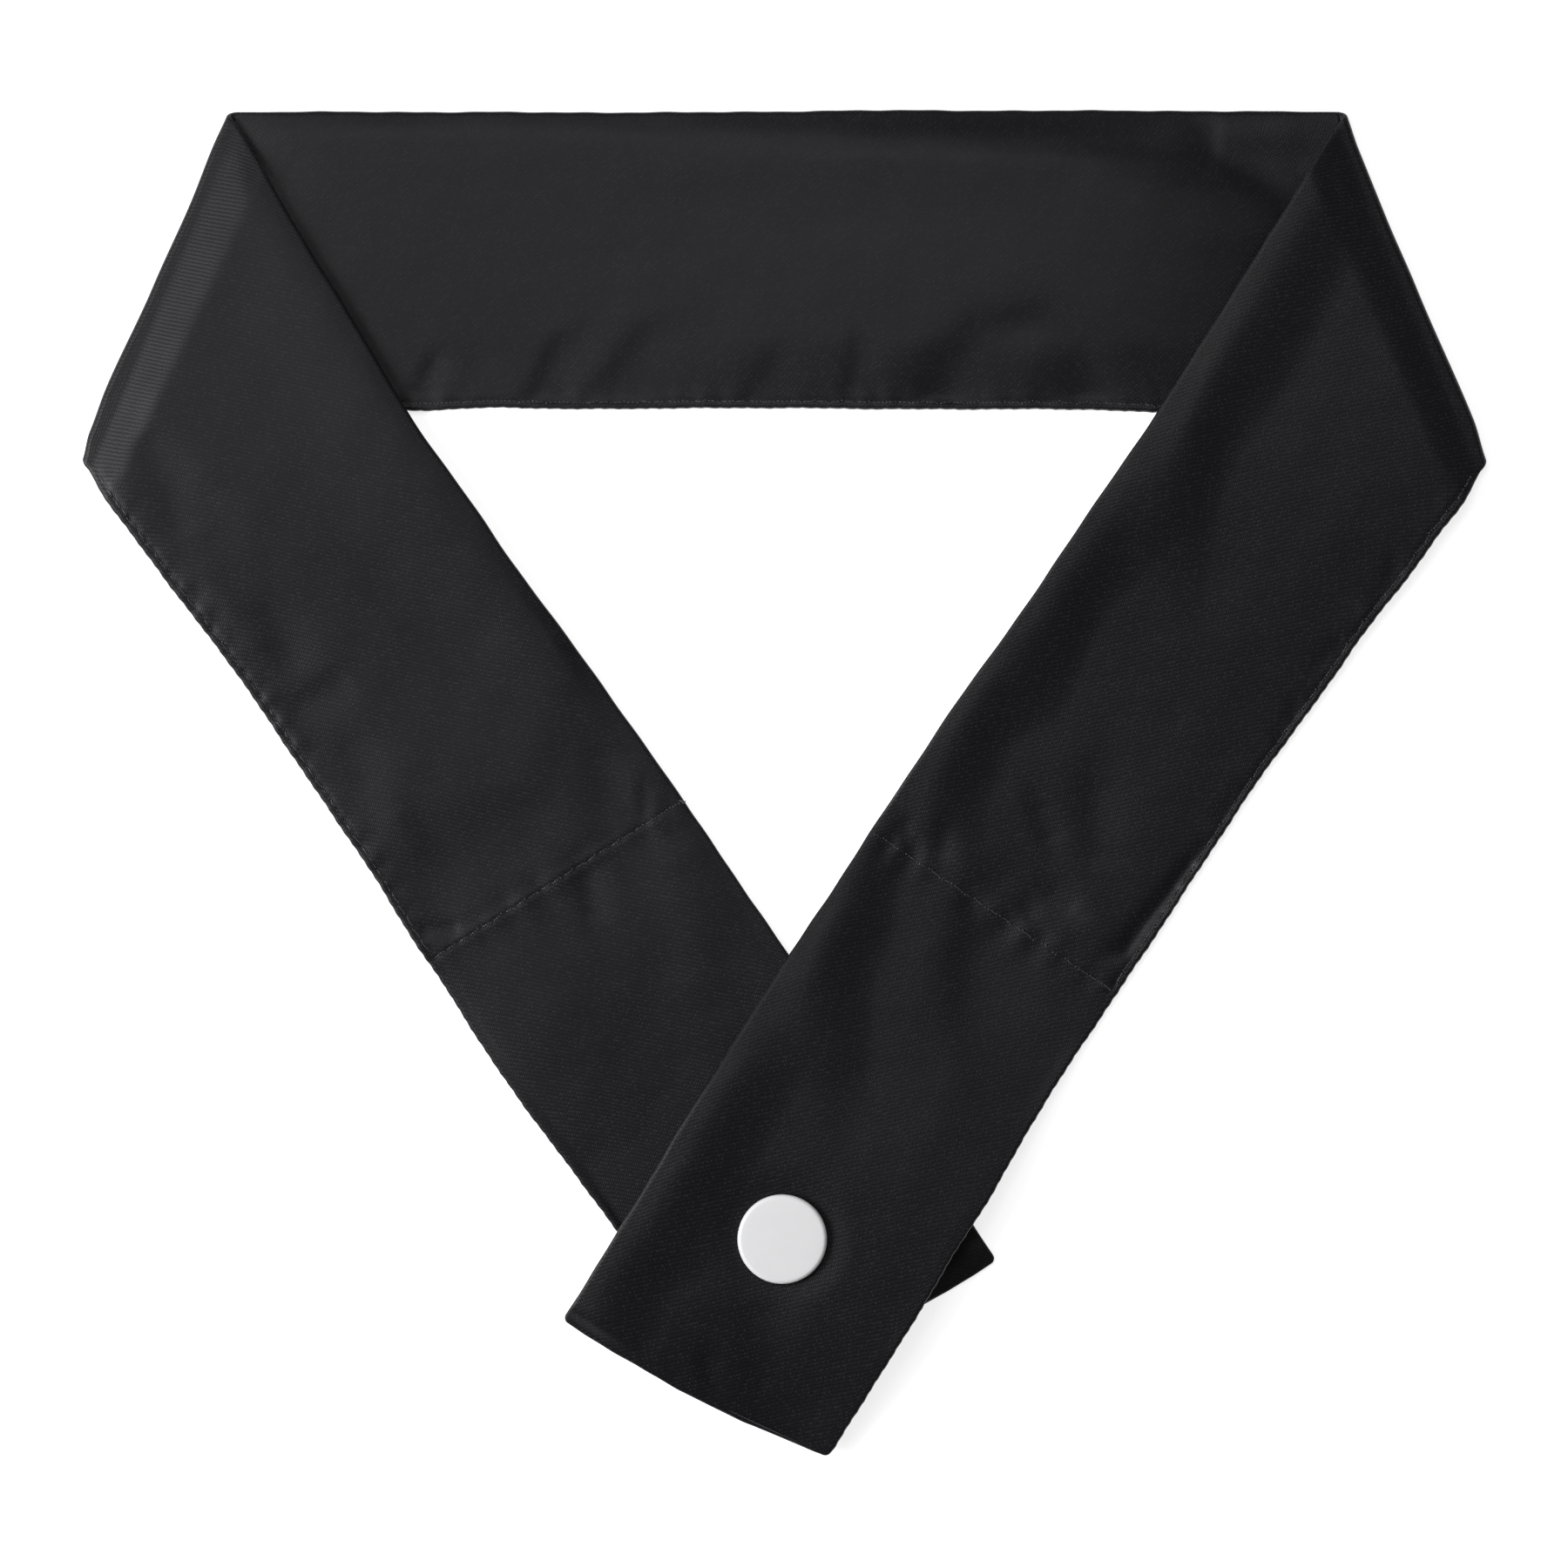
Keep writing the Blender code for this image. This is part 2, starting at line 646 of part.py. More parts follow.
def turned(name, profile, material, collection):
    """A solid turned about the snap's upright axis from a profile of radius and height."""
    mesh = bpy.data.meshes.new(name)
    closed = profile[0][0] > 0.0
    points = [(radius * MM, 0.0, height * MM) for radius, height in profile]
    edges = [(i, i + 1) for i in range(len(points) - 1)]
    if closed:
        edges.append((len(points) - 1, 0))
    mesh.from_pydata(points, edges, [])
    mesh.materials.append(material)
    thing = bpy.data.objects.new(name, mesh)
    thing.location = (SNAP_X * MM, SNAP_Y * MM, 0.0)
    collection.objects.link(thing)
    turn = thing.modifiers.new("turn", "SCREW")
    turn.axis = "Z"
    turn.angle = math.tau
    turn.steps = TURN_STEPS
    turn.render_steps = TURN_STEPS
    turn.use_merge_vertices = True
    turn.merge_threshold = MERGE_DISTANCE * MM
    turn.use_smooth_shade = True
    return thing


def rounded_corner(radius, height, rounding, quarter):
    """Points round a corner; quarter 0 turns from the top to the side, 1 to the bottom."""
    points = []
    for step in range(QUARTER_STEPS + 1):
        turn = math.radians(90.0 * (quarter + step / QUARTER_STEPS))
        points.append((radius + rounding * math.sin(turn), height + rounding * math.cos(turn)))
    return points


def disc_rim(radius, low, high, rounding):
    """The outer side of a disc, from its top edge to its bottom edge, both rounded."""
    rim = rounded_corner(radius - rounding, high - rounding, rounding, 0)
    rim += rounded_corner(radius - rounding, low + rounding, rounding, 1)
    return rim


def cap_profile():
    """Flat cap with a softly rounded rim, and the pin that passes down through the cloth."""
    top = CAP_Z + CAP_THICKNESS
    points = [(0.0, top)]
    points += disc_rim(CAP_RADIUS, CAP_Z, top, CAP_ROUNDING)
    pin_low = SOCKET_TOP_Z - SOCKET_ROOF
    points += [(PIN_RADIUS, CAP_Z), (PIN_RADIUS, pin_low), (0.0, pin_low)]
    return points


def back_cap_profile():
    """The cap that lies on the surface, with its pin passing up through the cloth."""
    top = BACK_CAP_THICKNESS
    pin_high = STUD_BASE_Z + STUD_THICKNESS
    points = [(0.0, pin_high), (PIN_RADIUS, pin_high), (PIN_RADIUS, top)]
    points += disc_rim(CAP_RADIUS, 0.0, top, CAP_ROUNDING)
    points += [(0.0, 0.0)]
    return points


def stud_profile():
    """Round base with a bulged knob, hollow below for the back cap's pin."""
    knob_top = STUD_FLOOR_Z + KNOB_HEIGHT
    hollow_top = STUD_BASE_Z + STUD_THICKNESS + GAP
    points = [(0.0, knob_top)]
    points += rounded_corner(KNOB_RADIUS - SNAP_ROUNDING, knob_top - SNAP_ROUNDING, SNAP_ROUNDING, 0)
    points += [(KNOB_NECK_RADIUS, STUD_FLOOR_Z + SNAP_ROUNDING), (KNOB_NECK_RADIUS, STUD_FLOOR_Z)]
    points += disc_rim(SOCKET_RADIUS, STUD_BASE_Z, STUD_FLOOR_Z, SNAP_ROUNDING)
    points += [(PIN_HOLE_RADIUS, STUD_BASE_Z), (PIN_HOLE_RADIUS, hollow_top), (0.0, hollow_top)]
    return points


def socket_profile():
    """Ring that the knob snaps into from below, with a hole in its roof for the cap's pin."""
    roof = SOCKET_TOP_Z - SOCKET_ROOF
    points = [(PIN_HOLE_RADIUS, SOCKET_TOP_Z)]
    points += disc_rim(SOCKET_RADIUS, SOCKET_Z, SOCKET_TOP_Z, SNAP_ROUNDING)
    points += [(SOCKET_RECESS_RADIUS, SOCKET_Z), (SOCKET_RECESS_RADIUS, roof), (PIN_HOLE_RADIUS, roof)]
    return points


def pierce(cloth, cutters):
    """Cut the hole for a snap's pin through a tail."""
    bpy.ops.mesh.primitive_cylinder_add(
        vertices=TURN_STEPS,
        radius=PIN_HOLE_RADIUS * MM,
        depth=CUTTER_HEIGHT * MM,
        location=(SNAP_X * MM, SNAP_Y * MM, 0.0),
    )
    cutter = bpy.context.object
    cutter.name = cloth.name + "_pin_hole"
    for owner in list(cutter.users_collection):
        owner.objects.unlink(cutter)
    cutters.objects.link(cutter)
    cutter.hide_render = True
    cutter.display_type = "WIRE"
    cut = cloth.modifiers.new("pin_hole", "BOOLEAN")
    cut.operation = "DIFFERENCE"
    cut.solver = "EXACT"
    cut.object = cutter


def finish(name, colour, roughness):
    """A plain surface with a colour and a roughness."""
    material = bpy.data.materials.new(name)
    material.use_nodes = True
    shader = material.node_tree.nodes["Principled BSDF"]
    shader.inputs["Base Color"].default_value = colour
    shader.inputs["Roughness"].default_value = roughness
    shader.inputs["Metallic"].default_value = 0.0
    return material


def new_collection(name):
    """A collection of the scene."""
    collection = bpy.data.collections.new(name)
    bpy.context.scene.collection.children.link(collection)
    return collection


def build():
    """Model every piece of the wrap."""
    clear_scene()
    parts = new_collection("cooling_neck_wrap")
    cutters = new_collection("cutters")

    lofted("neck_stretch", neck_rings(), finish("neck_satin", *BLACK_SATIN), parts)
    left = LeftArm(
        LEFT_FOLD,
        LEFT_HIDDEN_EDGE,
        LEFT_INNER,
        LEFT_OUTER,
        LEFT_STATIONS,
        LEFT_TROUGHS,
        LEFT_END_BULGE,
    )
    right = RightArm(
        RIGHT_FOLD,
        RIGHT_HIDDEN_EDGE,
        RIGHT_INNER,
        RIGHT_OUTER,
        RIGHT_STATIONS,
        RIGHT_TROUGHS,
        RIGHT_END_BULGE,
    )
    for name, arm in (("left_arm", left), ("right_arm", right)):
        cloth = lofted(name, arm.rings(), finish(name + "_satin", *BLACK_SATIN), parts)
        pierce(cloth, cutters)

    for name, profile in (
        ("snap_cap", cap_profile()),
        ("snap_socket", socket_profile()),
        ("snap_stud", stud_profile()),
        ("snap_back_cap", back_cap_profile()),
    ):
        turned(name, profile, finish(name + "_resin", *WHITE_RESIN), parts)


build()
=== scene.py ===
"""Looks of a cooling neck wrap, laid flat in a loop and snapped shut.

The strap is one black satin panel, folded along its length and stitched along its open side. Its
three stretches (neck, left arm, right arm) are thin shells that take the place of the solids.
Sizes are in millimetres unless a name says otherwise. The wrap lies on z = 0 and is seen from +Z.
"""

import logging
import math
from dataclasses import dataclass, field
from enum import Enum

import bmesh
import bpy
import numpy as np
from mathutils import Matrix, Vector


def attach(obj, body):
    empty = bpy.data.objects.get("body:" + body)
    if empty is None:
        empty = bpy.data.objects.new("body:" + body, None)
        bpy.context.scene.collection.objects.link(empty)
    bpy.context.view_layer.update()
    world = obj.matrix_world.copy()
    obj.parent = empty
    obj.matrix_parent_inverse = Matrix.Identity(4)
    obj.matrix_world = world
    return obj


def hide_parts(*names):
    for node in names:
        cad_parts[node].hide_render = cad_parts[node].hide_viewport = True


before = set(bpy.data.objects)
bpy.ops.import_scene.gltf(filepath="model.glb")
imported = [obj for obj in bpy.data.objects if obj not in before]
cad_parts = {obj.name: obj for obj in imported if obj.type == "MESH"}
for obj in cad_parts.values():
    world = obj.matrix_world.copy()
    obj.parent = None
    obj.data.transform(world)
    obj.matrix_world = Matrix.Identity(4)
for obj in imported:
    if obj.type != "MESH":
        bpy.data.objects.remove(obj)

LOG = logging.getLogger("neck_wrap")
MM = 0.001
WELD = 1e-6

# The strap's own sizes, the same as the solids have.
STRAP_WIDTH = 50.0
GAP = 0.3
EDGE_THICKNESS = 1.1
PINCHED_THICKNESS = 1.0
EDGE_REACH = 8.0
LIP = 1.0
LIP_AT_FOLD = 0.1
LIP_REACH = 5.0
STITCH_INSET = 1.2
WALL = 0.3

# The bend at a crease is pressed thin and opens up over a short way.
CREASE_THICKNESS = 0.9
CREASE_REACH = 11.0
LEAST_THICKNESS = 0.75

# The folded edge is a crisp thin fold, held up by the springy roll beside it.
FOLD_THICKNESS = 0.8
FOLD_LIFT_REACH = 8.0


class Layer(float, Enum):
    """The two layers that a crease joins."""

    ARM = 0.0
    NECK = 1.0


class Face(float, Enum):
    """Which face of the strap a seam's thread lies on."""

    UNDER = -1.0
    UPPER = 1.0


def rise(share: np.ndarray | float) -> np.ndarray:
    """Smooth step from 0 to 1 as share goes from 0 to 1."""
    held = np.clip(share, 0.0, 1.0)
    return held * held * (3.0 - 2.0 * held)


def mix(low: np.ndarray | float, high: np.ndarray | float, share: np.ndarray | float) -> np.ndarray:
    """The value or point that lies share of the way from low to high."""
    return low + (high - low) * share


def unit(x: float, y: float) -> np.ndarray:
    """A flat vector of length 1."""
    return np.array([x, y]) / math.hypot(x, y)


@dataclass(frozen=True)
class Drift:
    """One row of a drift table: share of an edge's length, and how far out the edge lies there."""

    at: float
    out: float


def drift_at(rows: tuple[Drift, ...], at: np.ndarray | float) -> np.ndarray:
    """Read a drift table, eased between its rows.

    Args:
        rows: The table, in order of its shares.
        at: Shares of the edge's length.

    Returns:
        How far out of the straight line the edge lies at each share.
    """
    out = np.full(np.shape(at), rows[0].out)
    for before, after in zip(rows, rows[1:]):
        out = out + (after.out - before.out) * rise((at - before.at) / (after.at - before.at))
    return out


@dataclass(frozen=True)
class Run:
    """A straight stretch: its length, and how far it leans sideways from straight down."""

    length: float
    lean_deg: float

    def end(self, start: np.ndarray, sideways: float) -> np.ndarray:
        """Where the run ends; it leans to the left for -1 and to the right for +1."""
        lean = math.radians(self.lean_deg)
        return start + self.length * np.array([sideways * math.sin(lean), -math.cos(lean)])

    def heading(self, sideways: float) -> np.ndarray:
        """The run's direction."""
        lean = math.radians(self.lean_deg)
        return np.array([sideways * math.sin(lean), -math.cos(lean)])


@dataclass
class Edge:
    """One long edge of a stretch, seen from above: a straight line and its drift."""

    start: np.ndarray
    end: np.ndarray
    drift: tuple[Drift, ...]
    outwards: np.ndarray

    def out(self) -> np.ndarray:
        """The direction away from the cloth, square to the straight line."""
        along = unit(*(self.end - self.start))
        square = np.array([along[1], -along[0]])
        return square if square @ self.outwards > 0.0 else -square

    def length(self) -> float:
        """Length of the straight line."""
        return float(np.linalg.norm(self.end - self.start))

    def at(self, share: np.ndarray | float) -> np.ndarray:
        """Points at shares of the edge's length."""
        share = np.asarray(share, float)
        straight = self.start + (self.end - self.start) * share[..., None]
        return straight + self.out() * drift_at(self.drift, share)[..., None]

    def inside(self, place: np.ndarray) -> np.ndarray:
        """How far places lie to the cloth's side of the straight line."""
        return -((place - self.start) @ self.out())


@dataclass
class Crease:
    """The line the strap turns over on. Its outermost line follows the wrap's outline.

    The strap's two edges come in along the neck stretch and leave along the arm, so they slide
    along the crease as they go round.
    """

    peak: np.ndarray
    run: Run
    side: float
    drift: tuple[Drift, ...]
    inner_run: Run
    outer_run: Run
    neck_slope: float = 0.15

    def __post_init__(self) -> None:
        """Work out the crease's directions and the slides of the two edges."""
        self.low = self.run.end(self.peak, self.side)
        self.along = unit(*(self.low - self.peak))
        self.out = np.array([self.side * abs(self.along[1]), abs(self.along[0])])
        inner = self.inner_run.heading(-self.side)
        outer = self.outer_run.heading(-self.side)
        neck_top = np.array([-self.side, 0.0])
        neck_low = unit(-self.side, self.neck_slope)
        self.peak_slides = (self.slide(inner), self.slide(neck_top))
        self.low_slides = (self.slide(outer), self.slide(neck_low))

    def slide(self, direction: np.ndarray) -> float:
        """How far along the crease an edge moves while it crosses half of the bend."""
        half_bend = EDGE_THICKNESS + GAP / 2.0
        return half_bend * float(direction @ self.along) / -float(direction @ self.out)

    def axis(self, v: np.ndarray, turned: np.ndarray | float, thick: np.ndarray) -> np.ndarray:
        """The bend's middle line.

        Args:
            v: Shares of the strap's width, from the folded edge.
            turned: 0 in the arm's layer, 1 in the neck stretch's.
            thick: Thickness of the strap at each share.

        Returns:
            Points seen from above.
        """
        v, turned, thick = np.broadcast_arrays(v, turned, thick)
        top = self.peak + self.along * mix(*self.peak_slides, turned)[..., None]
        bottom = self.low + self.along * mix(*self.low_slides, turned)[..., None]
        line = top + (bottom - top) * v[..., None]
        return line + self.out * (drift_at(self.drift, v) - GAP / 2.0 - thick)[..., None]

    def lip_shift(self, v: np.ndarray | float) -> np.ndarray:
        """Move along the neck stretch to where the bend's lip ends, at shares of the width."""
        lip = LIP * mix(LIP_AT_FOLD, 1.0, rise(np.asarray(v, float) * STRAP_WIDTH / LIP_REACH))
        aside = -self.side * lip / abs(self.out[0])
        return np.stack([aside, np.zeros_like(aside)], axis=-1)


# How a fold's straight pieces blend where its path bends, how much of it is left at its ends, and
# how many times its width it has to be long before its ends fade at all.
JOIN_BLUR = 0.3
JOIN_POWER = -6
END_HEIGHT = 0.35
LONG_FOLD = 3.0


@dataclass(frozen=True)
class Fold:
    """One soft fold of the upper cloth: a trough where height is negative, else a ridge.

    It follows a path seen from above. west and east are how far its two sides reach, so that one
    side can be steep and the other gentle, and it fades out towards its ends.
    """

    path: tuple[tuple[float, float], ...]
    west: float
    east: float
    height: float
    fade: float = 0.3

    def heights(self, place: np.ndarray) -> np.ndarray:
        """How far the fold moves the cloth up at each place."""
        points = [np.array(point) for point in self.path]
        lengths = [float(np.linalg.norm(b - a)) for a, b in zip(points, points[1:])]
        total = sum(lengths)
        chord = unit(*(points[-1] - points[0]))
        aside = np.array([-chord[1], chord[0]])
        if aside[0] < 0.0:
            aside = -aside
        reach = self.west + self.east
        weights, distances, sides, shares = (np.zeros(place.shape[:-1]) for _ in range(4))
        walked = 0.0
        for start, end, length in zip(points, points[1:], lengths):
            along = (end - start) / length
            nearest = np.clip((place - start) @ along, 0.0, length)
            offset = place - start - nearest[..., None] * along
            distance = np.linalg.norm(offset, axis=-1)
            weight = (distance + JOIN_BLUR) ** JOIN_POWER
            weights += weight
            distances += weight * distance
            sides += weight * (offset @ aside)
            shares += weight * (walked + nearest) / total
            walked += length
        sides, shares = sides / weights, shares / weights
        slope = mix(self.west, self.east, rise(0.5 + sides / reach))
        first = rise(shares / self.fade + END_HEIGHT)
        ends = first * rise((1.0 - shares) / self.fade + END_HEIGHT)
        ends = mix(1.0, ends, rise(total / (LONG_FOLD * reach)))
        return self.height * np.exp(-((distances / weights / slope) ** 2)) * ends


@dataclass(frozen=True)
class Ripple:
    """A faint, wide unevenness of the cloth, the sum of a few waves."""

    height: float
    waves: tuple[tuple[float, float, float], ...] = (
        (31.0, 20.0, 0.4),
        (23.0, 75.0, 2.1),
        (17.0, 128.0, 4.4),
        (12.5, 48.0, 1.3),
        (9.5, 160.0, 5.2),
        (7.5, 98.0, 3.0),
    )

    def heights(self, place: np.ndarray) -> np.ndarray:
        """Height of the unevenness at each place; each wave is a length, a turn and a phase."""
        total = np.zeros(place.shape[:-1])
        for length, turn_deg, phase in self.waves:
            turn = math.radians(turn_deg)
            along = place @ np.array([math.cos(turn), math.sin(turn)])
            total += math.sqrt(length / 31.0) * np.sin(math.tau * along / length + phase)
        return self.height * total / len(self.waves)


@dataclass
class Section:
    """The columns of a strap's tube, once round it from the stitched edge, under it and over it."""

    under_step: float = 1.7
    upper_step: float = 0.65
    fine_step: float = 0.38
    fine_reach: float = 4.5
    nose_depth: float = 0.45
    notch_depth: float = 0.3

    def __post_init__(self) -> None:
        """Lay out the columns."""
        width = STRAP_WIDTH
        rows = [(width - self.notch_depth, 0.5), (width, 0.27), (width - 0.14, 0.1)]
        under_edges = np.array([0.45, 1.2, 2.3])
        under = np.arange(2.3 + self.under_step, width - 3.0, self.under_step)
        under = np.concatenate([under_edges, under, width - under_edges[::-1]])
        rows += [(distance, 0.0) for distance in under[::-1]]
        for turn_deg in (-62.0, -31.0, 0.0, 31.0, 62.0):
            turn = math.radians(turn_deg)
            rows.append((self.nose_depth * (1.0 - math.cos(turn)), 0.5 + 0.5 * math.sin(turn)))
        fine_start = width - self.fine_reach
        upper = [0.4, 0.8, 1.3]
        upper += list(np.arange(1.9, fine_start, self.upper_step))
        upper += list(np.arange(fine_start, width - 0.3, self.fine_step))
        rows += [(distance, 1.0) for distance in upper]
        rows += [(width - 0.14, 0.9), (width, 0.73), (width - self.notch_depth, 0.5)]
        self.distance = np.array([row[0] for row in rows])
        self.level = np.array([row[1] for row in rows])
        self.v = self.distance / width
        heights = self.level * EDGE_THICKNESS
        steps = np.hypot(np.diff(self.distance), np.diff(heights))
        walked = np.concatenate([[0.0], np.cumsum(steps)])
        middle = int(np.argmin(self.distance))
        self.around = walked - walked[middle]

    def column(self, distance: float, face: Face) -> float:
        """The place among the columns of a distance from the folded edge, on one face."""
        middle = int(np.argmin(self.distance))
        if face is Face.UPPER:
            part = np.arange(middle, len(self.distance) - 2)
            return float(np.interp(distance, self.distance[part], part))
        part = np.arange(middle, 1, -1)
        return float(np.interp(distance, self.distance[part], part))


SECTION = Section()
QUARTER_TURN = Matrix.Rotation(math.pi / 2.0, 4, "Y")


def section_thickness(v: np.ndarray, middle: np.ndarray | float) -> np.ndarray:
    """Thickness of the flat strap, from the folded edge to the stitched one.

    Args:
        v: Shares of the strap's width, from the folded edge.
        middle: Thickness in the strap's middle.

    Returns:
        Thickness at each place.
    """
    from_fold = v * STRAP_WIDTH
    from_stitch = (1.0 - v) * STRAP_WIDTH
    swell = rise(from_fold / EDGE_REACH) * rise((from_stitch - STITCH_INSET) / EDGE_REACH)
    return mix(np.minimum(EDGE_THICKNESS, middle), middle, swell)


def curve_at(
    places: tuple[float, ...], values: tuple[float, ...], at: np.ndarray | float
) -> np.ndarray:
    """Read a table along a smooth curve through its rows.

    Args:
        places: Where the rows stand, in order.
        values: Their values.
        at: Where to read.

    Returns:
        The value at each place; past the ends it stays as it is there.
    """
    knots, heights = np.array(places), np.array(values)
    slopes = np.gradient(heights, knots)
    slopes[0] = slopes[-1] = 0.0
    k = np.clip(np.searchsorted(knots, at) - 1, 0, len(knots) - 2)
    step = knots[k + 1] - knots[k]
    t = np.clip((at - knots[k]) / step, 0.0, 1.0)
    ends = mix(heights[k], heights[k + 1], rise(t))
    lean = slopes[k] * t * (1.0 - t) ** 2 - slopes[k + 1] * t**2 * (1.0 - t)
    return ends + step * lean


@dataclass(frozen=True)
class FallRow:
    """One row of a fall's table: where, how far in its middle lies, over what reach, how deep."""

    at: float
    inward: float
    reach: float
    drop: float


@dataclass(frozen=True)
class Fall:
    """A long soft slope, where the springy roll by a folded edge comes down to the flat cloth."""

    rows: tuple[FallRow, ...]

    def heights(self, at: np.ndarray, inward: np.ndarray) -> np.ndarray:
        """How far the cloth is raised, by its place along the slope and its distance inwards."""
        places = tuple(row.at for row in self.rows)
        middle = curve_at(places, tuple(row.inward for row in self.rows), at)
        reach = curve_at(places, tuple(row.reach for row in self.rows), at)
        drop = np.maximum(0.0, curve_at(places, tuple(row.drop for row in self.rows), at))
        return drop * (1.0 - rise(0.5 + (inward - middle) / reach))


@dataclass(frozen=True)
class Valley:
    """A swollen stretch of pocket that falls ever more steeply to a valley, and a bank past it."""

    inward: tuple[float, ...]
    along: tuple[float, ...]
    swell: float = 2.2
    swell_reach: float = 85.0
    drop: float = 3.1
    reach: float = 32.0
    bank: float = -0.4
    bank_reach: float = 12.0
    blurs: tuple[float, ...] = (-3.0, -2.0, -1.0, 0.0, 1.0, 2.0, 3.0)
    fold_fade: float = 9.0
    stitch_fade: float = 12.0
    edge_share: float = 0.3

    def heights(self, inward: np.ndarray, along: np.ndarray) -> np.ndarray:
        """How far the cloth is raised, by its distance inwards and its place along the strap."""
        bottom = curve_at(self.inward, self.along, inward)
        from_stitch = rise((STRAP_WIDTH - inward) / self.stitch_fade)
        fallen = along - bottom + self.reach
        climb = self.swell * rise((fallen + self.swell_reach) / self.swell_reach)
        sunk = np.zeros_like(along + inward)
        for blur in self.blurs:
            sunk += np.clip((fallen + blur) / self.reach, 0.0, 1.0) ** 2
        sunk = self.drop * sunk / len(self.blurs)
        bank = self.bank * rise((along - bottom) / self.bank_reach)
        soft = rise(inward / self.fold_fade) * from_stitch
        return (climb - sunk + bank) * mix(self.edge_share, 1.0, soft)


@dataclass(frozen=True)
class Profile:
    """How thick the opened strap is across its width, from the folded edge to the stitched one."""

    fold: float
    crest: float
    middle: float
    stitched: float = 1.5
    stitched_reach: float = 16.0

    def thickness(self, v: np.ndarray) -> np.ndarray:
        """Thickness at shares of the strap's width."""
        climb = np.sin(math.pi / 2.0 * np.clip(v * STRAP_WIDTH / self.crest, 0.0, 1.0))
        full = mix(self.fold, self.middle, climb)
        from_stitch = (1.0 - v) * STRAP_WIDTH
        return mix(self.stitched, full, rise(from_stitch / self.stitched_reach))


def fold_lift(v: np.ndarray, thick: np.ndarray) -> np.ndarray:
    """How far the underside curls up at the folded edge, which is thinner than the roll by it."""
    spare = np.maximum(0.0, thick - FOLD_THICKNESS)
    return spare * (1.0 - rise(v * STRAP_WIDTH / FOLD_LIFT_REACH))


@dataclass(frozen=True)
class Seam:
    """A line of lockstitch that presses the cloth and puckers it."""

    press: float = 0.3
    groove: float = 0.7
    pitch: float = 2.3
    dimple: float = 0.12
    pucker: float = 0.16
    pucker_pitch: float = 5.3
    pucker_reach: float = 3.2

    def heights(self, away: np.ndarray, along: np.ndarray) -> np.ndarray:
        """How far a seam moves the cloth, at a distance from it and a distance along it."""
        line = np.exp(-((away / self.groove) ** 2))
        holes = 0.5 + 0.5 * np.cos(math.tau * along / self.pitch)
        waves = np.sin(math.tau * along / self.pucker_pitch + 1.7 * np.sin(along / 7.3))
        waves = waves * (0.6 + 0.4 * np.sin(along / 4.1 + 0.8))
        spread = np.exp(-((away / self.pucker_reach) ** 2))
        return -self.press * line - self.dimple * holes * line + self.pucker * waves * spread


EDGE_SEAM = Seam(
    press=0.07, groove=0.5, dimple=0.09, pucker=0.08, pucker_pitch=4.9, pucker_reach=2.6
)
CROSS_SEAM = Seam(
    press=0.03, groove=0.45, dimple=0.10, pucker=0.14, pucker_pitch=5.7, pucker_reach=3.6
)


def to_object(
    name: str, shape: bmesh.types.BMesh, material: bpy.types.Material
) -> bpy.types.Object:
    """Turn a bmesh into a shown piece that rides on the wrap.

    Args:
        name: The piece's name.
        shape: Its mesh, in metres, which is freed.
        material: Its finish.

    Returns:
        The new object.
    """
    mesh = bpy.data.meshes.new(name)
    shape.to_mesh(mesh)
    shape.free()
    mesh.materials.append(material)
    mesh.shade_smooth()
    piece = bpy.data.objects.new(name, mesh)
    bpy.context.scene.collection.objects.link(piece)
    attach(piece, "root")
    return piece


def uneven(along: np.ndarray) -> np.ndarray:
    """A small fixed unevenness from -1 to 1 at distances along an edge."""
    waves = np.sin(along / 2.9 + 0.6) + 0.8 * np.sin(along / 1.31 + 2.4) + 1.2 * np.sin(along / 6.7)
    return waves / 3.0


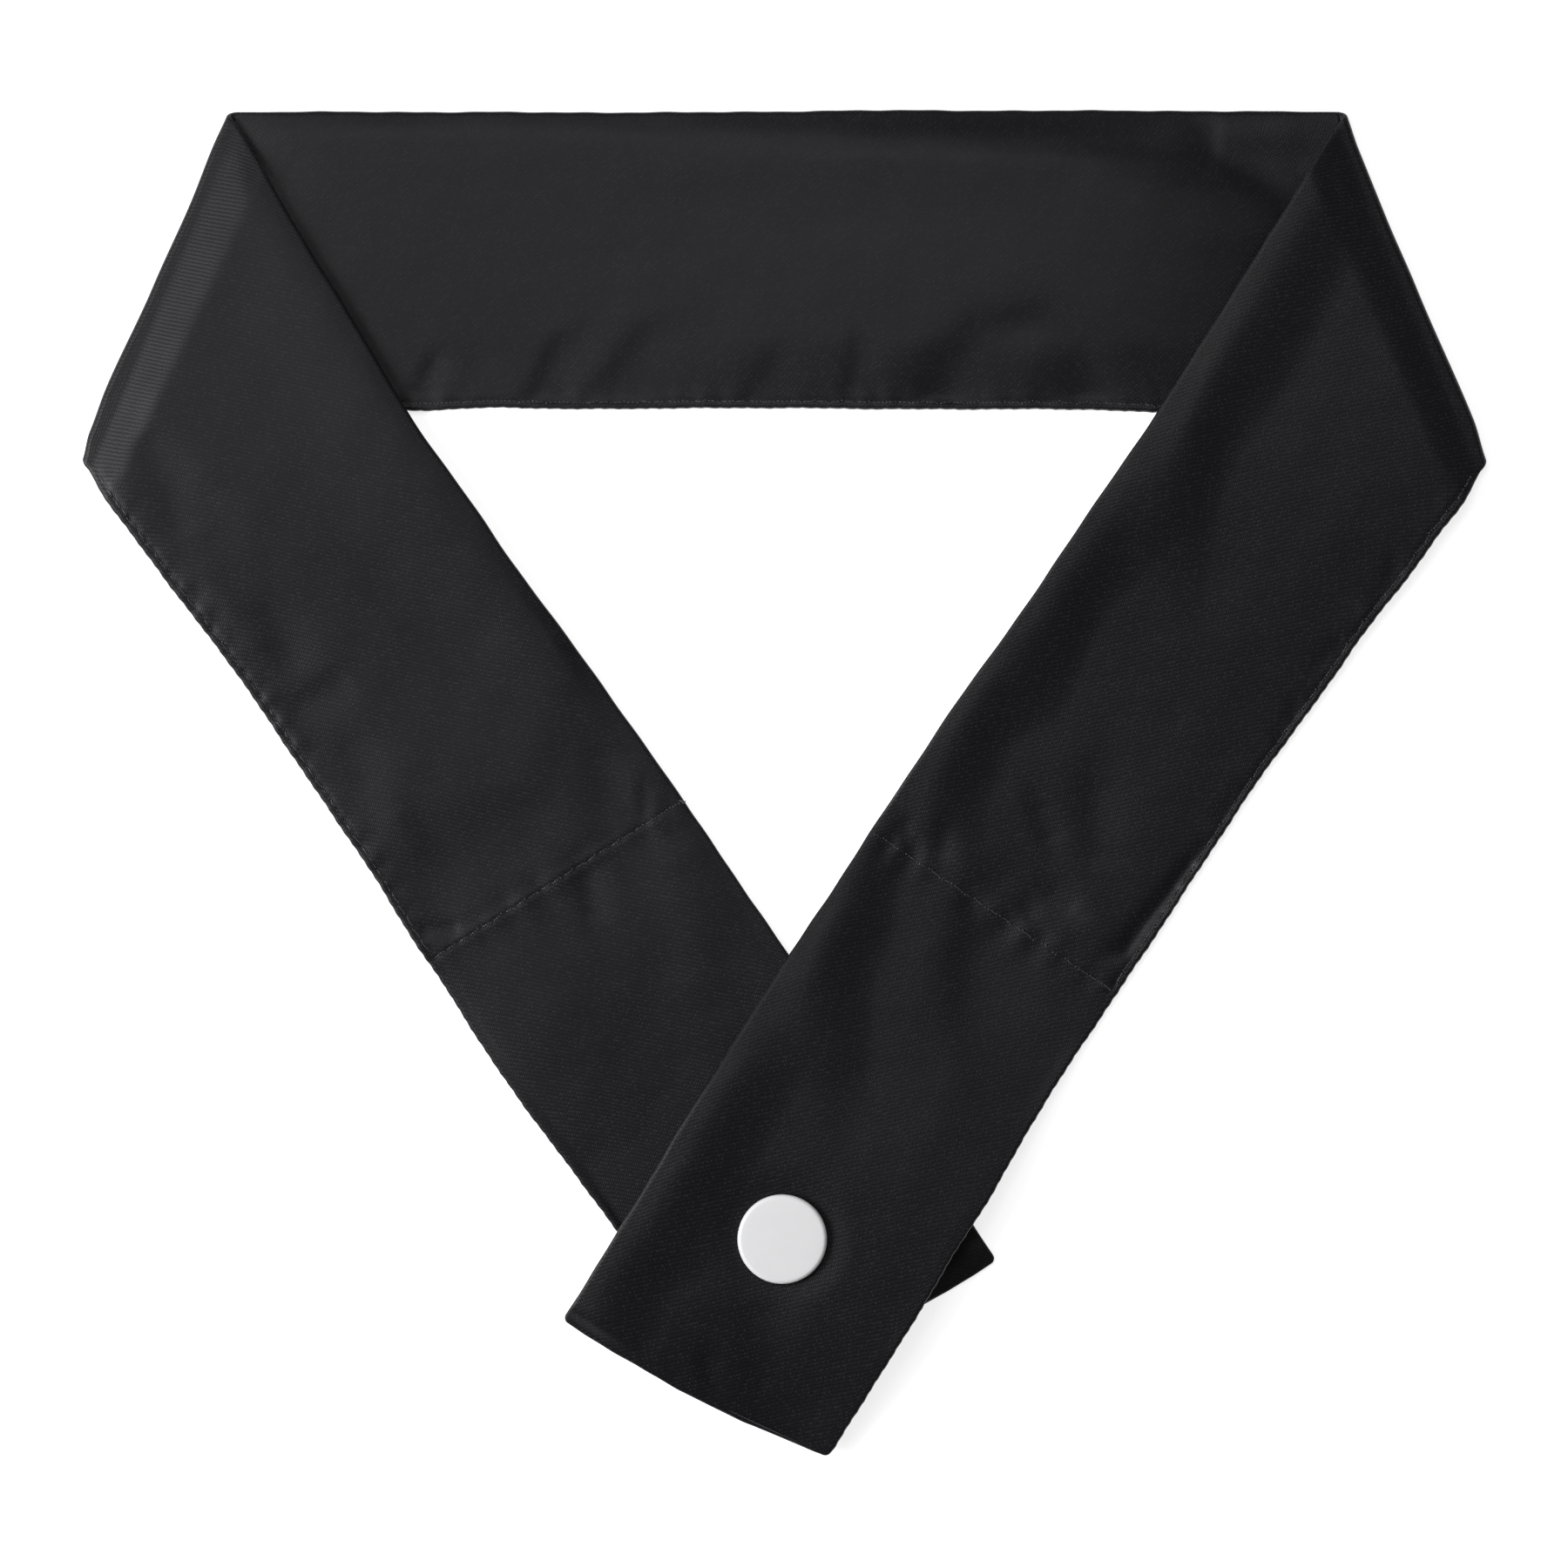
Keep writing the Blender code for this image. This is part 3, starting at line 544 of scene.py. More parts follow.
@dataclass
class Stretch:
    """One stretch of the strap that shows: a tube of cloth with its folds."""

    name: str
    node: str
    flat_length: float
    folds: tuple[Fold, ...]
    pocket: Profile
    ripple: Ripple
    rests_on: tuple[str, ...]
    waver: float = 0.12
    scallop: float = 0.06
    under_share: float = 0.35
    closed_end: bool = False
    points: np.ndarray = field(init=False)
    along: np.ndarray = field(init=False)
    edge_along: np.ndarray = field(init=False)
    start_along: float = 0.0

    def lay(self) -> None:
        """Place every point of the tube, as rows along it and columns round it."""
        raise NotImplementedError

    def relief(self, place: np.ndarray, v: np.ndarray, opened: np.ndarray) -> np.ndarray:
        """Height of the folds and the ripple over the plain upper cloth.

        Args:
            place: Points seen from above.
            v: Shares of the strap's width.
            opened: From 0 at a crease to 1 where the strap has opened up.

        Returns:
            Height at each point.
        """
        total = self.ripple.heights(place)
        for fold in self.folds:
            total = total + fold.heights(place)
        from_fold = v * STRAP_WIDTH
        from_stitch = (1.0 - v) * STRAP_WIDTH
        return total * rise(from_fold / 3.0) * rise((from_stitch - 0.2) / 2.2) * opened

    def edge_shift(self, v: np.ndarray, across: np.ndarray, opened: np.ndarray) -> np.ndarray:
        """Move the two long edges in and out a little, as sewn and pressed edges are.

        Args:
            v: Shares of the strap's width.
            across: Unit vectors across the strap, from the folded to the stitched edge.
            opened: From 0 at a crease to 1 where the strap has opened up.

        Returns:
            The shift of each point, seen from above.
        """
        along = self.edge_along[:, None]
        at_fold = -self.waver * uneven(along + 40.0) * (1.0 - rise(v * STRAP_WIDTH / 6.0))
        scallops = self.scallop * np.cos(math.tau * along / EDGE_SEAM.pitch)
        from_stitch = (1.0 - v) * STRAP_WIDTH
        at_stitch = (self.waver * uneven(along) - scallops) * rise(1.0 - from_stitch / 3.0)
        return across * ((at_fold + at_stitch) * opened)[..., None]

    def measure(self) -> None:
        """Work out how far along the strap each point lies, for the weave."""
        steps = np.linalg.norm(np.diff(self.points, axis=0), axis=2)
        walked = np.vstack([np.zeros(self.points.shape[1]), np.cumsum(steps, axis=0)])
        self.along = self.start_along + walked

    def surface(self, row: float, column: float) -> Matrix:
        """A frame on the cloth between its rows and columns.

        Args:
            row: Place among the rows.
            column: Place among the columns.

        Returns:
            The frame: x along the strap, y round it, z out of the cloth, in millimetres.
        """
        j = min(int(row), self.points.shape[0] - 2)
        i = min(int(column), self.points.shape[1] - 2)
        corners = self.points[j : j + 2, i : i + 2]
        near = mix(corners[:, 0], corners[:, 1], column - i)
        onward = Vector(near[1] - near[0]).normalized()
        around = Vector(corners[0, 1] - corners[0, 0])
        outward = onward.cross(around).normalized()
        turned = Matrix((onward, outward.cross(onward), outward)).transposed().to_4x4()
        turned.translation = Vector(mix(near[0], near[1], row - j))
        return turned

    def build(self, material: bpy.types.Material) -> bpy.types.Object:
        """Make the cloth from a flat panel.

        Args:
            material: The satin.

        Returns:
            The finished piece.
        """
        self.lay()
        self.measure()
        rows, columns = self.points.shape[:2]
        panel = bmesh.new()
        bmesh.ops.create_grid(panel, x_segments=columns - 1, y_segments=rows - 1, size=0.5)
        uv_layer = panel.loops.layers.uv.new("strap")
        spot: dict[bmesh.types.BMVert, tuple[int, int]] = {}
        for vert in panel.verts:
            i = round((vert.co.x + 0.5) * (columns - 1))
            j = round((vert.co.y + 0.5) * (rows - 1))
            spot[vert] = (j, i)
        for face in panel.faces:
            for loop in face.loops:
                j, i = spot[loop.vert]
                loop[uv_layer].uv = (SECTION.around[i], self.along[j, i])
        for vert, (j, i) in spot.items():
            vert.co = Vector(self.points[j, i]) * MM
        bmesh.ops.remove_doubles(panel, verts=panel.verts, dist=WELD)
        if self.closed_end:
            rim = [e for e in panel.edges if e.is_boundary]
            rim = [e for e in rim if all(spot[vert][0] == rows - 1 for vert in e.verts)]
            bmesh.ops.edgeloop_fill(panel, edges=rim)
        bmesh.ops.recalc_face_normals(panel, faces=panel.faces)
        cloth = to_object(self.name, panel, material)
        wall = cloth.modifiers.new("wall", "SOLIDIFY")
        wall.thickness = WALL * MM
        wall.offset = -1.0
        wall.use_rim = True
        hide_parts(self.node)
        LOG.info("%s: %d rows, %d columns", self.name, rows, columns)
        return cloth

    def declare(self, cloth: bpy.types.Object, thread: bpy.types.Object) -> None:
        """Takes no step: nothing is done with the cloth or its thread."""


@dataclass
class Arm(Stretch):
    """One arm of the strap: the bend at its crease, the pocket, the cross seam and the tail."""

    crease: Crease = None
    hidden_edge: Edge = None
    inner: Edge = None
    outer: Edge = None
    seam_inner: float = 0.59
    seam_outer: float = 0.53
    tail: Profile = None
    falls: tuple[Fall, ...] = ()
    roll_edge: float = 0.80
    roll_crest: float = 6.0
    neck_fall: float = 58.0
    seam_reach: float = 6.0
    end_bulge: float = 1.2
    bulge_reach: float = 14.0
    corner_radius: float = 1.3
    end_thickness: float = 0.8
    bend_steps: int = 12
    row_step: float = 0.78
    seam_step: float = 0.28
    seam_fine: float = 4.0
    end_rows: tuple[float, ...] = (3.4, 2.6, 2.0, 1.5, 1.1, 0.8, 0.55, 0.35, 0.2, 0.08, 0.0)
    end_nose: float = 0.45
    end_nicks: float = 0.16
    nose_share: float = 0.12
    seam_calm: float = 0.4
    seam_calm_reach: float = 1.6
    seam_fade: float = 12.0
    stitching_fade: float = 1.5
    deepest_under: float = 0.8
    bend_rows: int = field(init=False, default=0)

    def __post_init__(self) -> None:
        """Settle the direction the arm runs in."""
        self.heading = unit(*(self.inner.end - self.inner.start))

    def crossing_lift(self, place: np.ndarray) -> np.ndarray:
        """Height of the underside where the arm lies over other pieces."""
        raise NotImplementedError

    def lift(self, place: np.ndarray, v: np.ndarray, from_crease: np.ndarray) -> np.ndarray:
        """Height of the arm's underside above the surface."""
        at_crease = section_thickness(v, CREASE_THICKNESS)
        settled = rise(from_crease / CREASE_REACH)
        resting = mix(at_crease, self.pocket.middle, settled) + GAP
        over_neck = resting * rise(1.0 + self.hidden_edge.inside(place) / self.neck_fall)
        return np.maximum(self.crossing_lift(place), over_neck)

    def places(self) -> np.ndarray:
        """Distances of the flat rows along the folded edge, close together where detail is fine."""
        length = self.inner.length()
        seam = self.seam_inner * length
        stops = [
            np.arange(self.row_step, seam - self.seam_fine, self.row_step),
            np.arange(seam - self.seam_fine, seam + self.seam_fine, self.seam_step),
            np.arange(seam + self.seam_fine, length - self.end_rows[0] - 0.3, self.row_step),
            length - np.array(self.end_rows),
        ]
        return np.concatenate(stops)

    def bend_points(self, turned: float, slid: bool) -> np.ndarray:
        """A row inside the bend.

        Args:
            turned: From 0 in the arm's layer to 1 in the neck stretch's.
            slid: Whether the row is moved along the neck stretch, to the end of the bend's lip.

        Returns:
            One point for each column.
        """
        thick = section_thickness(SECTION.v, CREASE_THICKNESS)
        radius = GAP / 2.0 + SECTION.level * thick
        angle = math.pi * turned
        place = self.crease.axis(SECTION.v, turned, thick)
        if slid:
            place = place + self.crease.lip_shift(SECTION.v)
        place = place + self.crease.out * (radius * math.sin(angle))[:, None]
        height = thick + GAP / 2.0 + radius * math.cos(angle)
        return np.column_stack([place, height])

    def lay(self) -> None:
        """Place the bend's rows and then the flat ones."""
        bend = [self.bend_points(1.0, True)]
        turns = [1.0 - k / self.bend_steps for k in range(self.bend_steps + 1)]
        bend += [self.bend_points(turn, False) for turn in turns]
        self.bend_rows = len(bend)
        length = self.inner.length()
        distance = self.places()
        share = distance / length
        seam = self.seam_inner
        before = share / seam * self.seam_outer
        after = mix(self.seam_outer, 1.0, (share - seam) / (1.0 - seam))
        outer_share = np.where(share < seam, before, after)
        start, end = self.inner.at(share), self.outer.at(outer_share)
        across = end - start
        width = np.linalg.norm(across, axis=1, keepdims=True)
        across = (across / width)[:, None, :]

        from_end = length - distance
        corner = np.clip(1.0 - from_end / self.corner_radius, 0.0, 1.0)
        inset = (self.corner_radius * (1.0 - np.sqrt(1.0 - corner**2)))[:, None]
        v = SECTION.v[None, :]
        share_across = (inset + v * (width - 2.0 * inset)) / width
        place = mix(start[:, None, :], end[:, None, :], share_across[..., None])
        bulge = self.end_bulge * rise(1.0 - from_end / self.bulge_reach)
        bulge = bulge[:, None] * np.sin(math.pi * v)
        place = place + self.heading * bulge[..., None]

        stitched = np.linalg.norm(np.diff(end, axis=0), axis=1)
        self.edge_along = np.concatenate([[0.0], np.cumsum(stitched)])
        opened = rise(distance / CREASE_REACH)[:, None]
        place = place + self.edge_shift(v, across, opened)
        ended = rise(1.0 - from_end / self.end_rows[0])[:, None]
        nicks = self.end_nicks * uneven(v * STRAP_WIDTH * 1.3 + 11.0) * ended
        place = place + self.heading * nicks[..., None]

        away = (distance - seam * length)[:, None]
        pocket, tail = self.pocket.thickness(v), self.tail.thickness(v)
        thick = mix(pocket, tail, rise(0.5 + away / (2.0 * self.seam_reach)))
        rolls = sum(fall.heights(distance[:, None], v * STRAP_WIDTH) for fall in self.falls)
        crest = np.sin(math.pi / 2.0 * np.clip(v * STRAP_WIDTH / self.roll_crest, 0.0, 1.0))
        thick = thick + rolls * mix(self.roll_edge, 1.0, crest)
        thick = mix(section_thickness(v, CREASE_THICKNESS), thick, opened)
        relief = self.relief(place, v, opened)
        near_seam = np.exp(-((away / self.seam_calm_reach) ** 2))
        relief = relief * (1.0 - self.seam_calm * near_seam)
        seamed = CROSS_SEAM.heights(away, v * STRAP_WIDTH)
        relief = relief + seamed * rise(v * self.seam_fade) * rise((1.0 - v) * self.seam_fade)
        stitched_part = (1.0 - rise(away / self.stitching_fade)) * opened
        edge_away = (1.0 - v) * STRAP_WIDTH - STITCH_INSET
        relief = relief + EDGE_SEAM.heights(edge_away, self.edge_along[:, None]) * stitched_part
        thick = np.maximum(LEAST_THICKNESS, thick + relief)
        thick = mix(thick, self.end_thickness, ended)
        from_snap = np.linalg.norm(place - Snap.CENTRE, axis=2)
        squeezed = np.minimum(PINCHED_THICKNESS, thick)
        thick = mix(squeezed, thick, rise((from_snap - Snap.PINCH_RADIUS) / Snap.PINCH_REACH))

        nose = np.clip(from_end / self.end_nose, 0.0, 1.0)
        nose = np.sqrt(1.0 - (1.0 - nose) ** 2)[:, None]
        level = 0.5 + (SECTION.level[None, :] - 0.5) * mix(self.nose_share, 1.0, nose)
        lift = self.lift(place, v, distance[:, None])
        under = self.under_share * np.clip(-relief, 0.0, self.deepest_under) * rise(lift)
        under = under + fold_lift(v, thick) * opened * (1.0 - ended)
        height = lift + level * thick + under * (1.0 - level)
        flat = np.dstack([place, height])
        self.points = np.concatenate([np.array(bend), flat])


@dataclass
class RightArm(Arm):
    """The arm that lies on the left one and carries the snap's cap."""

    climb: float = 66.0
    end_fall: float = 60.0
    end_lift: float = 5.8
    end_sag: float = 3.4
    sag_start: float = 6.0
    sag_reach: float = 22.0
    sag_rim: float = 12.0
    sag_width: float = 34.0

    def crossing_lift(self, place: np.ndarray) -> np.ndarray:
        """Height of the underside where it climbs over the left arm and on to the snap."""
        along = (place - Snap.CENTRE) @ self.heading
        before = rise((along + self.climb) / (self.climb - Snap.TOP_RADIUS))
        after = rise((along - Snap.TOP_RADIUS) / self.end_fall)
        aside = (place - Snap.CENTRE) @ self.inner.out()
        sag = self.end_sag * rise((along - self.sag_start) / self.sag_reach)
        sag = sag * rise((self.sag_rim - aside) / self.sag_width)
        return mix(Snap.RIGHT_LIFT * before, self.end_lift, after) - sag


@dataclass
class LeftArm(Arm):
    """The arm that lies on the surface and carries the snap's stud."""

    tent_rim: float = 21.0

    def crossing_lift(self, place: np.ndarray) -> np.ndarray:
        """Height of the underside where it lies over the snap's back cap."""
        away = np.linalg.norm(place - Snap.CENTRE, axis=-1)
        tent = rise((self.tent_rim - away) / (self.tent_rim - Snap.TOP_RADIUS))
        return Snap.LEFT_LIFT * tent


@dataclass
class Neck(Stretch):
    """The stretch along the back of the neck, flat on the surface between the two creases."""

    left: Crease = None
    right: Crease = None
    top: Edge = None
    lower: Edge = None
    valley: Valley = None
    row_step: float = 0.62
    butt_step: float = 0.45
    butt_reach: float = 12.0

    def lay(self) -> None:
        """Place the rows from the left crease to the right one."""
        length = self.top.length()
        near = np.arange(0.0, self.butt_reach, self.butt_step)
        middle = np.arange(self.butt_reach, length - self.butt_reach, self.row_step)
        distance = np.concatenate([near, middle, length - near[::-1]])
        share = distance / length
        left_shift, right_shift = self.left.lip_shift(1.0), self.right.lip_shift(1.0)
        shift = left_shift + (right_shift - left_shift) * share[:, None]
        start, end = self.top.at(share) + shift, self.lower.at(share) + shift
        across = end - start
        across = (across / np.linalg.norm(across, axis=1, keepdims=True))[:, None, :]
        v = SECTION.v[None, :]
        place = mix(start[:, None, :], end[:, None, :], v[..., None])

        thick = section_thickness(SECTION.v, CREASE_THICKNESS)
        for crease, row, gone in ((self.left, 0, distance), (self.right, -1, length - distance)):
            lip = crease.axis(SECTION.v, Layer.NECK.value, thick) + crease.lip_shift(SECTION.v)
            bend = lip - mix(start[row], end[row], SECTION.v[:, None])
            place = place + bend[None] * rise(1.0 - gone / self.butt_reach)[:, None, None]

        from_crease = np.minimum(distance, length - distance)[:, None]
        opened = rise(from_crease / CREASE_REACH)
        stitched = np.linalg.norm(np.diff(end, axis=0), axis=1)
        self.edge_along = np.concatenate([[0.0], np.cumsum(stitched)])
        place = place + self.edge_shift(v, across, opened)
        thick = self.pocket.thickness(v) + self.valley.heights(v * STRAP_WIDTH, distance[:, None])
        thick = mix(section_thickness(v, CREASE_THICKNESS), thick, opened)
        relief = self.relief(place, v, opened)
        edge_away = (1.0 - v) * STRAP_WIDTH - STITCH_INSET
        relief = relief + EDGE_SEAM.heights(edge_away, self.edge_along[:, None]) * opened
        thick = np.maximum(LEAST_THICKNESS, thick + relief)
        level = SECTION.level[None, :]
        height = level * thick + fold_lift(v, thick) * opened * (1.0 - level)
        self.points = np.dstack([place, height])


@dataclass
class Thread:
    """Lockstitch thread on both faces of a stretch, one short capsule for each stitch."""

    name: str
    stretch: Stretch
    radius: float = 0.12
    length: float = 1.7
    sides: int = 7
    rings: int = 6
    bead_radius: float = 0.20
    knot_loops: int = 9
    knot_size: float = 0.62
    shape: bmesh.types.BMesh = field(default_factory=bmesh.new)
    count: int = 0

    def stitch(self, row: float, column: float, along_strap: bool, seed: int) -> None:
        """Add one stitch.

        Args:
            row: Place among the stretch's rows.
            column: Place among the stretch's columns.
            along_strap: Whether the stitch runs along the strap, and not across it.
            seed: The stitch's number, for its small unevenness.
        """
        spot = self.stretch.surface(row, column)
        turn = 0.10 * math.sin(seed * 2.4) + (0.0 if along_strap else math.pi / 2.0)
        stretch = self.length * (1.0 + 0.06 * math.sin(seed * 1.7))
        place = spot @ Matrix.Rotation(turn, 4, "Z") @ Matrix.Translation((0.0, 0.0, -0.02))
        size = Matrix.Diagonal((stretch / 2.0, self.radius, self.radius, 1.0))
        bmesh.ops.create_uvsphere(
            self.shape,
            u_segments=self.sides,
            v_segments=self.rings,
            radius=1.0,
            matrix=Matrix.Scale(MM, 4) @ place @ size @ QUARTER_TURN,
        )
        for end in (-1.0, 1.0):
            wander = 1.4 * self.radius * math.sin(seed * 3.1 + end)
            self.bead(spot, Vector((end * stretch / 2.0, wander, 0.10)), turn)
        self.count += 1

    def bead(self, spot: Matrix, offset: Vector, turn: float) -> None:
        """Add the small tight bend of thread where a stitch goes into the cloth.

        Args:
            spot: The stitch's frame on the cloth.
            offset: Where the bend is, from the stitch's middle.
            turn: How far the stitch is turned on the cloth.
        """
        place = spot @ Matrix.Rotation(turn, 4, "Z") @ Matrix.Translation(offset)
        bmesh.ops.create_icosphere(
            self.shape,
            subdivisions=1,
            radius=self.bead_radius,
            matrix=Matrix.Scale(MM, 4) @ place,
        )

    def knot(self, row: float, column: float) -> None:
        """Add the small knot of thread at the end of a seam: a few short loops side by side."""
        spot = self.stretch.surface(row, column)
        for k in range(self.knot_loops):
            turn = Matrix.Rotation(k * 2.4, 4, "X") @ Matrix.Rotation(k * 1.1 + 0.4, 4, "Y")
            size = Matrix.Diagonal((self.knot_size, self.radius * 1.2, self.radius * 1.2, 1.0))
            shift = Matrix.Translation((0.42 * math.sin(k * 2.1), 0.40 * math.cos(k * 1.7), 0.30))
            bmesh.ops.create_uvsphere(
                self.shape,
                u_segments=self.sides,
                v_segments=self.rings,
                radius=1.0,
                matrix=Matrix.Scale(MM, 4) @ spot @ shift @ turn @ size @ QUARTER_TURN,
            )

    def along_edge(self, first: float, last: float, first_row: int) -> None:
        """Stitch along the stitched edge, on both faces.

        Args:
            first: Where the row starts, as a distance along the stitched edge.
            last: Where it ends.
            first_row: The row of the tube that the distances start from.
        """
        walked = self.stretch.edge_along
        rows = np.arange(len(walked)) + first_row
        pitch = EDGE_SEAM.pitch
        for face in Face:
            column = SECTION.column(STRAP_WIDTH - STITCH_INSET, face)
            for k in range(math.ceil(first / pitch), math.floor(last / pitch)):
                row = float(np.interp((k + 0.5) * pitch, walked, rows))
                self.stitch(row, column, True, k)

    def across_seam(self, row: float) -> None:
        """Stitch across the strap at a row, on both faces."""
        pitch = CROSS_SEAM.pitch
        for face in Face:
            for k in range(0, math.floor(STRAP_WIDTH / pitch)):
                column = SECTION.column((k + 0.5) * pitch + 0.6, face)
                self.stitch(row, column, False, k)

    def build(self, material: bpy.types.Material) -> bpy.types.Object:
        """Finish the thread as one joined piece."""
        piece = to_object(self.name, self.shape, material)
        LOG.info("%s: %d stitches", self.name, self.count)
        return piece


class Snap:
    """Where the four-part snap stands, and how high it holds the two tails."""

    CENTRE = np.array([-0.3, -76.3])
    LEFT_LIFT = 1.8
    RIGHT_LIFT = 6.8
    TOP_RADIUS = 8.5
    PINCH_RADIUS = 6.0
    PINCH_REACH = 6.5


@dataclass(frozen=True)
class Cap:
    """A round moulded cap of the snap, with the pin that goes through the cloth."""

    name: str
    node: str
    low: float
    high: float
    pin_end: float
    radius: float = 7.5
    rounding: float = 0.7
    crown: float = 0.06
    pin_radius: float = 1.2
    steps: int = 128
    corner_steps: int = 8

    def profile(self) -> list[tuple[float, float]]:
        """Radius and height of the side and the face, from the face's middle to the pin's end."""
        upwards = self.pin_end < self.low
        face, back = (self.high, self.low) if upwards else (self.low, self.high)
        sign = 1.0 if upwards else -1.0
        flat = self.radius - self.rounding
        points = [(0.0, face)]
        for share in (0.35, 0.7, 0.9, 1.0):
            points.append((flat * share, face - sign * self.crown * share**2))
        edge = face - sign * self.crown
        for step in range(1, self.corner_steps + 1):
            turn = math.radians(90.0 * step / self.corner_steps)
            radius = flat + self.rounding * math.sin(turn)
            points.append((radius, edge - sign * self.rounding * (1.0 - math.cos(turn))))
        small = 0.25
        for step in range(self.corner_steps // 2 + 1):
            turn = math.radians(90.0 * step / (self.corner_steps // 2))
            radius = self.radius - small * (1.0 - math.cos(turn))
            points.append((radius, back + sign * small * (1.0 - math.sin(turn))))
        points += [(self.pin_radius, back), (self.pin_radius, self.pin_end), (0.0, self.pin_end)]
        return points

    def build(self, material: bpy.types.Material) -> bpy.types.Object:
        """Turn the cap about the snap's upright axis.

        Args:
            material: The moulded plastic.

        Returns:
            The finished piece.
        """
        shape = bmesh.new()
        x, y = Snap.CENTRE
        verts = [shape.verts.new((x + r, y, z)) for r, z in self.profile()]
        edges = [shape.edges.new(pair) for pair in zip(verts, verts[1:])]
        bmesh.ops.spin(
            shape,
            geom=verts + edges,
            cent=(x, y, 0.0),
            axis=(0.0, 0.0, 1.0),
            angle=math.tau,
            steps=self.steps,
            use_merge=True,
        )
        bmesh.ops.remove_doubles(shape, verts=shape.verts, dist=1e-4)
        bmesh.ops.scale(shape, vec=(MM, MM, MM), verts=shape.verts)
        bmesh.ops.recalc_face_normals(shape, faces=shape.faces)
        piece = to_object(self.name, shape, material)
        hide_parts(self.node)
        LOG.info("%s: turned", self.name)
        return piece


def linear(colour: str) -> tuple[float, float, float, float]:
    """A linear colour from an sRGB hex value."""
    parts = [int(colour[i : i + 2], 16) / 255.0 for i in (1, 3, 5)]
    parts = [p / 12.92 if p <= 0.04045 else ((p + 0.055) / 1.055) ** 2.4 for p in parts]
    return (*parts, 1.0)


def add_node(
    material: bpy.types.Material,
    kind: str,
    settings: dict[str, object] | None = None,
    inputs: dict[str | int, object] | None = None,
) -> bpy.types.Node:
    """Add a shader node.

    Args:
        material: The material it goes into.
        kind: The node's type.
        settings: Its settings by name.
        inputs: Values for its sockets, or the sockets that feed them.

    Returns:
        The node.
    """
    tree = material.node_tree
    node = tree.nodes.new(kind)
    for name, value in (settings or {}).items():
        setattr(node, name, value)
    for key, value in (inputs or {}).items():
        if isinstance(value, bpy.types.NodeSocket):
            tree.links.new(value, node.inputs[key])
        else:
            node.inputs[key].default_value = value
    return node


def new_material(name: str) -> tuple[bpy.types.Material, bpy.types.Node]:
    """A material and its surface shader."""
    material = bpy.data.materials.new(name)
    material.use_nodes = True
    return material, material.node_tree.nodes["Principled BSDF"]


